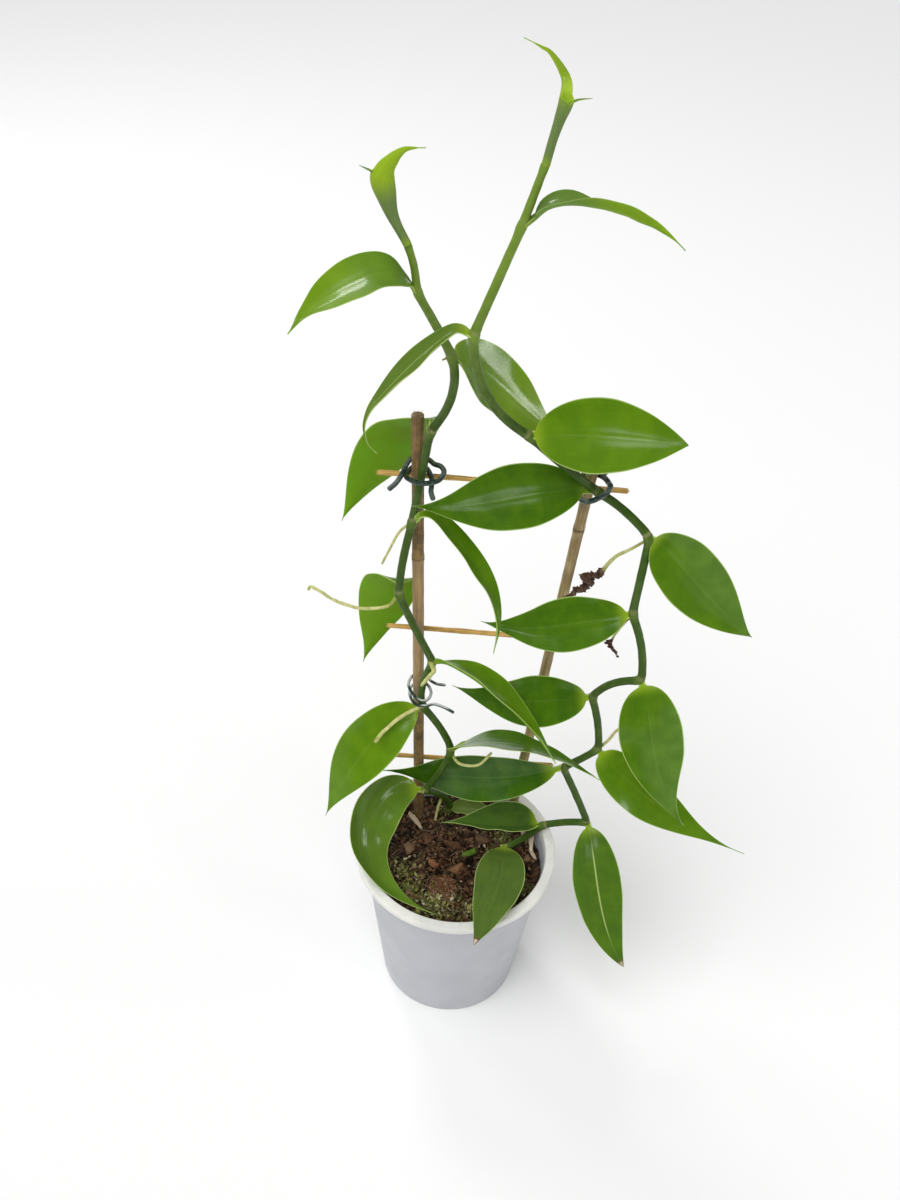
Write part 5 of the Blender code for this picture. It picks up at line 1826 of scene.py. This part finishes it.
class ORCHID_OT_vines(Operator):
    """Builds both vines with their nodes, and the cut stub"""

    bl_idname = "orchid.vines"
    bl_label = "Vines"

    def execute(self, context):
        vines = context.scene.orchid_vines
        skin = vine_finish(vines)
        for name, joints, leafy in (("a", VINE_A, 12), ("b", VINE_B, 15)):
            shape = Shape()
            add_vine(shape, joints, vines.node_swell, leafy)
            for vine, route, near, far in NUBS:
                if vine == name:
                    points = curve([p for p, radius in route], 3)
                    widths = smooth_route([Vector((radius * MM, 0, 0)) for p, radius in route], 3)
                    radii = [width.x for width in widths]
                    last = len(points) - 1
                    states = [tuple(Vector(near).lerp(Vector(far), i / last)) for i in range(last + 1)]
                    add_tube(shape, points, radii, SCRAP_SIDES, states, relief=NUB_RELIEF)
            shape.stand("stem_" + name, skin, "vine", "vine_" + name)
        stub = Shape()
        route = curve(STUB, 6)
        radii = [STEM_RADIUS + 0.0002 * math.sin(i) for i in range(len(route))]
        states = [(0.25, 0, 0)] * len(route)
        way = (route[-1] - route[-2]).normalized()
        route += [route[-1] + way * 0.0001, route[-1] + way * 0.00005]
        radii += [STEM_RADIUS * 0.9, STEM_RADIUS * 0.5]
        states += [(1.0, 1.0, 0.4), (1.0, 1.0, 0.7)]
        add_tube(stub, route, radii, STEM_SIDES, states)
        stub.stand("stub_end", skin, "vine", "cut_stub")
        return {"FINISHED"}


class ORCHID_OT_roots(Operator):
    """Builds the aerial roots and the clumps of bark that they hold"""

    bl_idname = "orchid.roots"
    bl_label = "Aerial roots"

    def execute(self, context):
        roots = context.scene.orchid_roots
        chooser = random.Random(ROOT_SEED)
        pale = root_finish(roots)
        for root in ROOTS:
            points = curve(root.route, ROOT_STEPS)
            last = len(points) - 1
            radii, states = [], []
            for i in range(last + 1):
                share = i / last
                radius = (root.start + (root.end - root.start) * share) * MM
                flare = 1 + ROOT_FLARE * ease(1 - share * 9)
                radii.append(radius * (1 + ROOT_UNEVEN * noise.noise(points[i] * ROOT_SWELLS)) * flare)
                states.append((ease(1 - share * 3) * 0.8 + ease(share * 6 - 5) * 0.4, 0, 0))
            radii[-1] *= 0.8
            radii[-2] *= 0.92
            points, radii = rounded_ends(points, radii)
            states = [states[0]] * 3 + states + [states[-1]] * 3
            shape = Shape()
            add_tube(shape, points, radii, ROOT_SIDES, states, relief=ROOT_RELIEF)
            shape.stand("aerial_" + root.name, pale, "root", "root_" + root.name)
        clump_bark = bark_finish("Clump bark", shade(roots.clump_colour, 0.35), roots.clump_colour)
        for node, spine in CLUMPS.items():
            shape = Shape()
            beads = [(place(*p), radius * MM) for p, radius in spine]
            for (a, at_a), (b, at_b) in zip(beads, beads[1:]):
                beads = [*beads, (a.lerp(b, 0.5), (at_a + at_b) * 0.45)]
            for centre, radius in beads:
                for number in range(CHUNKS_PER_BEAD):
                    length = radius * chooser.uniform(0.9, 1.5)
                    broad, thick = chooser.uniform(0.5, 0.8), chooser.uniform(0.4, 0.6)
                    size = Vector((length, length * broad, length * thick))
                    way = random_vector(chooser).normalized()
                    at = centre + way * radius * (chooser.uniform(0.25, 0.7) if number else 0.0)
                    light, red = chooser.uniform(0, 1), chooser.uniform(0, 0.5)
                    state = (light, red, 0.3 if chooser.random() < PALE_CLUMPS else 0.0)
                    add_chunk(shape, chooser, at, size, state, 11, CLUMP_ROUGHNESS)
            shape.stand(node.replace("crumbs", "clump"), clump_bark, "crumbs", node, smooth=False)
        return {"FINISHED"}


class ORCHID_OT_leaves(Operator):
    """Builds every leaf, from the one at the soil to the rolled leaf at each tip"""

    bl_idname = "orchid.leaves"
    bl_label = "Leaves"

    def execute(self, context):
        leaves = context.scene.orchid_leaves
        green = leaf_finish(leaves)
        for leaf in LEAVES_A + LEAVES_B:
            shape = Shape()
            add_leaf(shape, leaf, leaves)
            shape.stand("blade_" + leaf.name, green, "leaf", "leaf_" + leaf.name)
        return {"FINISHED"}


class ORCHID_OT_ties(Operator):
    """Builds the soft ties that hold the vines to the canes"""

    bl_idname = "orchid.ties"
    bl_label = "Ties"

    def execute(self, context):
        soft = tie_finish(context.scene.orchid_ties)
        for node, (radius, route) in TIES.items():
            points = curve(route, TIE_STEPS)
            points, radii = rounded_ends(points, [radius * MM] * len(points))
            # How much painted highlight each tie shows on its upper side, in patches
            highlight_share = WIRE_HIGHLIGHT_SHARE if node == "tie_lower" else TIE_HIGHLIGHT_SHARE
            states = [(highlight_share * ease(0.5 + noise.noise(p * TIE_PATCHES) * 2.5), 0, 0) for p in points]
            shape = Shape()
            add_tube(shape, points, radii, TIE_SIDES, states)
            shape.stand(node.replace("tie", "binding"), soft, "tie", node)
        return {"FINISHED"}


class ORCHID_OT_stage(Operator):
    """Sets up the pale floor, the soft lights and the camera"""

    bl_idname = "orchid.stage"
    bl_label = "Floor, lights and camera"

    def execute(self, context):
        stage = context.scene.orchid_stage
        half = stage.floor_width / 2
        mesh = bpy.data.meshes.new("floor")
        corners = [(-half, -half, 0), (half, -half, 0), (half, half, 0), (-half, half, 0)]
        mesh.from_pydata(corners, [], [(0, 1, 2, 3)])
        made, shader, wiring = finish("Pale floor", Roughness=0.8, Specular_IOR_Level=0.1)
        shader["Base Color"].default_value = (*stage.floor_colour, 1.0)
        mesh.materials.append(made)
        put_in("floor", mesh)

        sky = bpy.data.lights.new("Broad daylight", "SUN")
        sky.angle = stage.sky_angle
        sky.energy = stage.sky_strength
        held = put_in("Broad daylight", sky)
        held.rotation_euler = Vector(SKY_DIRECTION).to_track_quat("Z", "Y").to_euler()
        held.visible_glossy = False
        for name, azimuth, height, away, size, radiance in LIGHTS:
            lamp = bpy.data.lights.new(name, "AREA")
            lamp.shape = "RECTANGLE"
            lamp.size, lamp.size_y = size
            lamp.energy = stage.gloss * radiance * math.pi * size[0] * size[1]
            held = put_in(name, lamp)
            azimuth, height = math.radians(azimuth), math.radians(height)
            towards = Vector((
                math.sin(azimuth) * math.cos(height), math.cos(azimuth) * math.cos(height), math.sin(height)
            ))
            held.location = Vector(LIT_POINT) + towards * away
            held.rotation_euler = towards.to_track_quat("Z", "Y").to_euler()

        world = bpy.data.worlds.new("Studio")
        world.use_nodes = True
        wiring = Wiring(world.node_tree)
        background = world.node_tree.nodes["Background"]
        background.inputs["Color"].default_value = (0.97, 0.98, 1.0, 1.0)
        path = wiring.add("ShaderNodeLightPath")
        seen = Flow(wiring, path.outputs["Is Camera Ray"]).fit(0.0, 1.0, SKY_FILL, SKY_SEEN)
        mirrored = Flow(wiring, path.outputs["Is Glossy Ray"]).fit(0.0, 1.0, 0.0, SKY_FILL - SKY_MIRRORED)
        wiring.feed(background.inputs["Strength"], seen - mirrored)
        context.scene.world = world
        context.scene.view_settings.view_transform = "Standard"

        lens = bpy.data.cameras.new("Camera")
        lens.lens = CAMERA_LENS
        lens.sensor_width = CAMERA_SENSOR
        camera = put_in("Camera", lens)
        turn = Matrix((CAMERA_RIGHT, CAMERA_UP, [-c for c in CAMERA_FORWARD])).transposed().to_4x4()
        camera.matrix_world = Matrix.Translation(CAMERA_AT) @ turn
        context.scene.camera = camera
        return {"FINISHED"}


OPERATORS = (
    ORCHID_OT_pot, ORCHID_OT_soil, ORCHID_OT_ladder, ORCHID_OT_vines, ORCHID_OT_roots, ORCHID_OT_leaves,
    ORCHID_OT_ties, ORCHID_OT_stage,
)
SETTINGS = {
    "orchid_pot": PotSettings,
    "orchid_soil": SoilSettings,
    "orchid_ladder": LadderSettings,
    "orchid_vines": VineSettings,
    "orchid_leaves": LeafSettings,
    "orchid_roots": RootSettings,
    "orchid_ties": TieSettings,
    "orchid_stage": StageSettings,
}


class ORCHID_PT_panel(Panel):
    """Lists the settings of each group of pieces and the buttons that build them"""

    bl_idname = "ORCHID_PT_panel"
    bl_label = "Vanilla Orchid"
    bl_space_type = "VIEW_3D"
    bl_region_type = "UI"
    bl_category = "Orchid"

    def draw(self, context):
        for operator in OPERATORS:
            self.layout.operator(operator.bl_idname)
        for attribute, group in SETTINGS.items():
            box = self.layout.box()
            box.label(text=attribute.replace("orchid_", "").capitalize())
            for setting in group.__annotations__:
                box.prop(getattr(context.scene, attribute), setting)


def register():
    for group in (*SETTINGS.values(), *OPERATORS, ORCHID_PT_panel):
        bpy.utils.register_class(group)
    for attribute, group in SETTINGS.items():
        setattr(bpy.types.Scene, attribute, PointerProperty(type=group))


def unregister():
    for attribute in SETTINGS:
        delattr(bpy.types.Scene, attribute)
    for group in (ORCHID_PT_panel, *reversed(OPERATORS), *reversed(SETTINGS.values())):
        bpy.utils.unregister_class(group)


def main():
    noise.seed_set(ROUGHNESS_SEED)
    register()
    bpy.ops.orchid.stage()
    bpy.ops.orchid.pot()
    bpy.ops.orchid.soil()
    bpy.ops.orchid.ladder()
    bpy.ops.orchid.vines()
    bpy.ops.orchid.roots()
    bpy.ops.orchid.leaves()
    bpy.ops.orchid.ties()


if __name__ == "__main__":
    main()
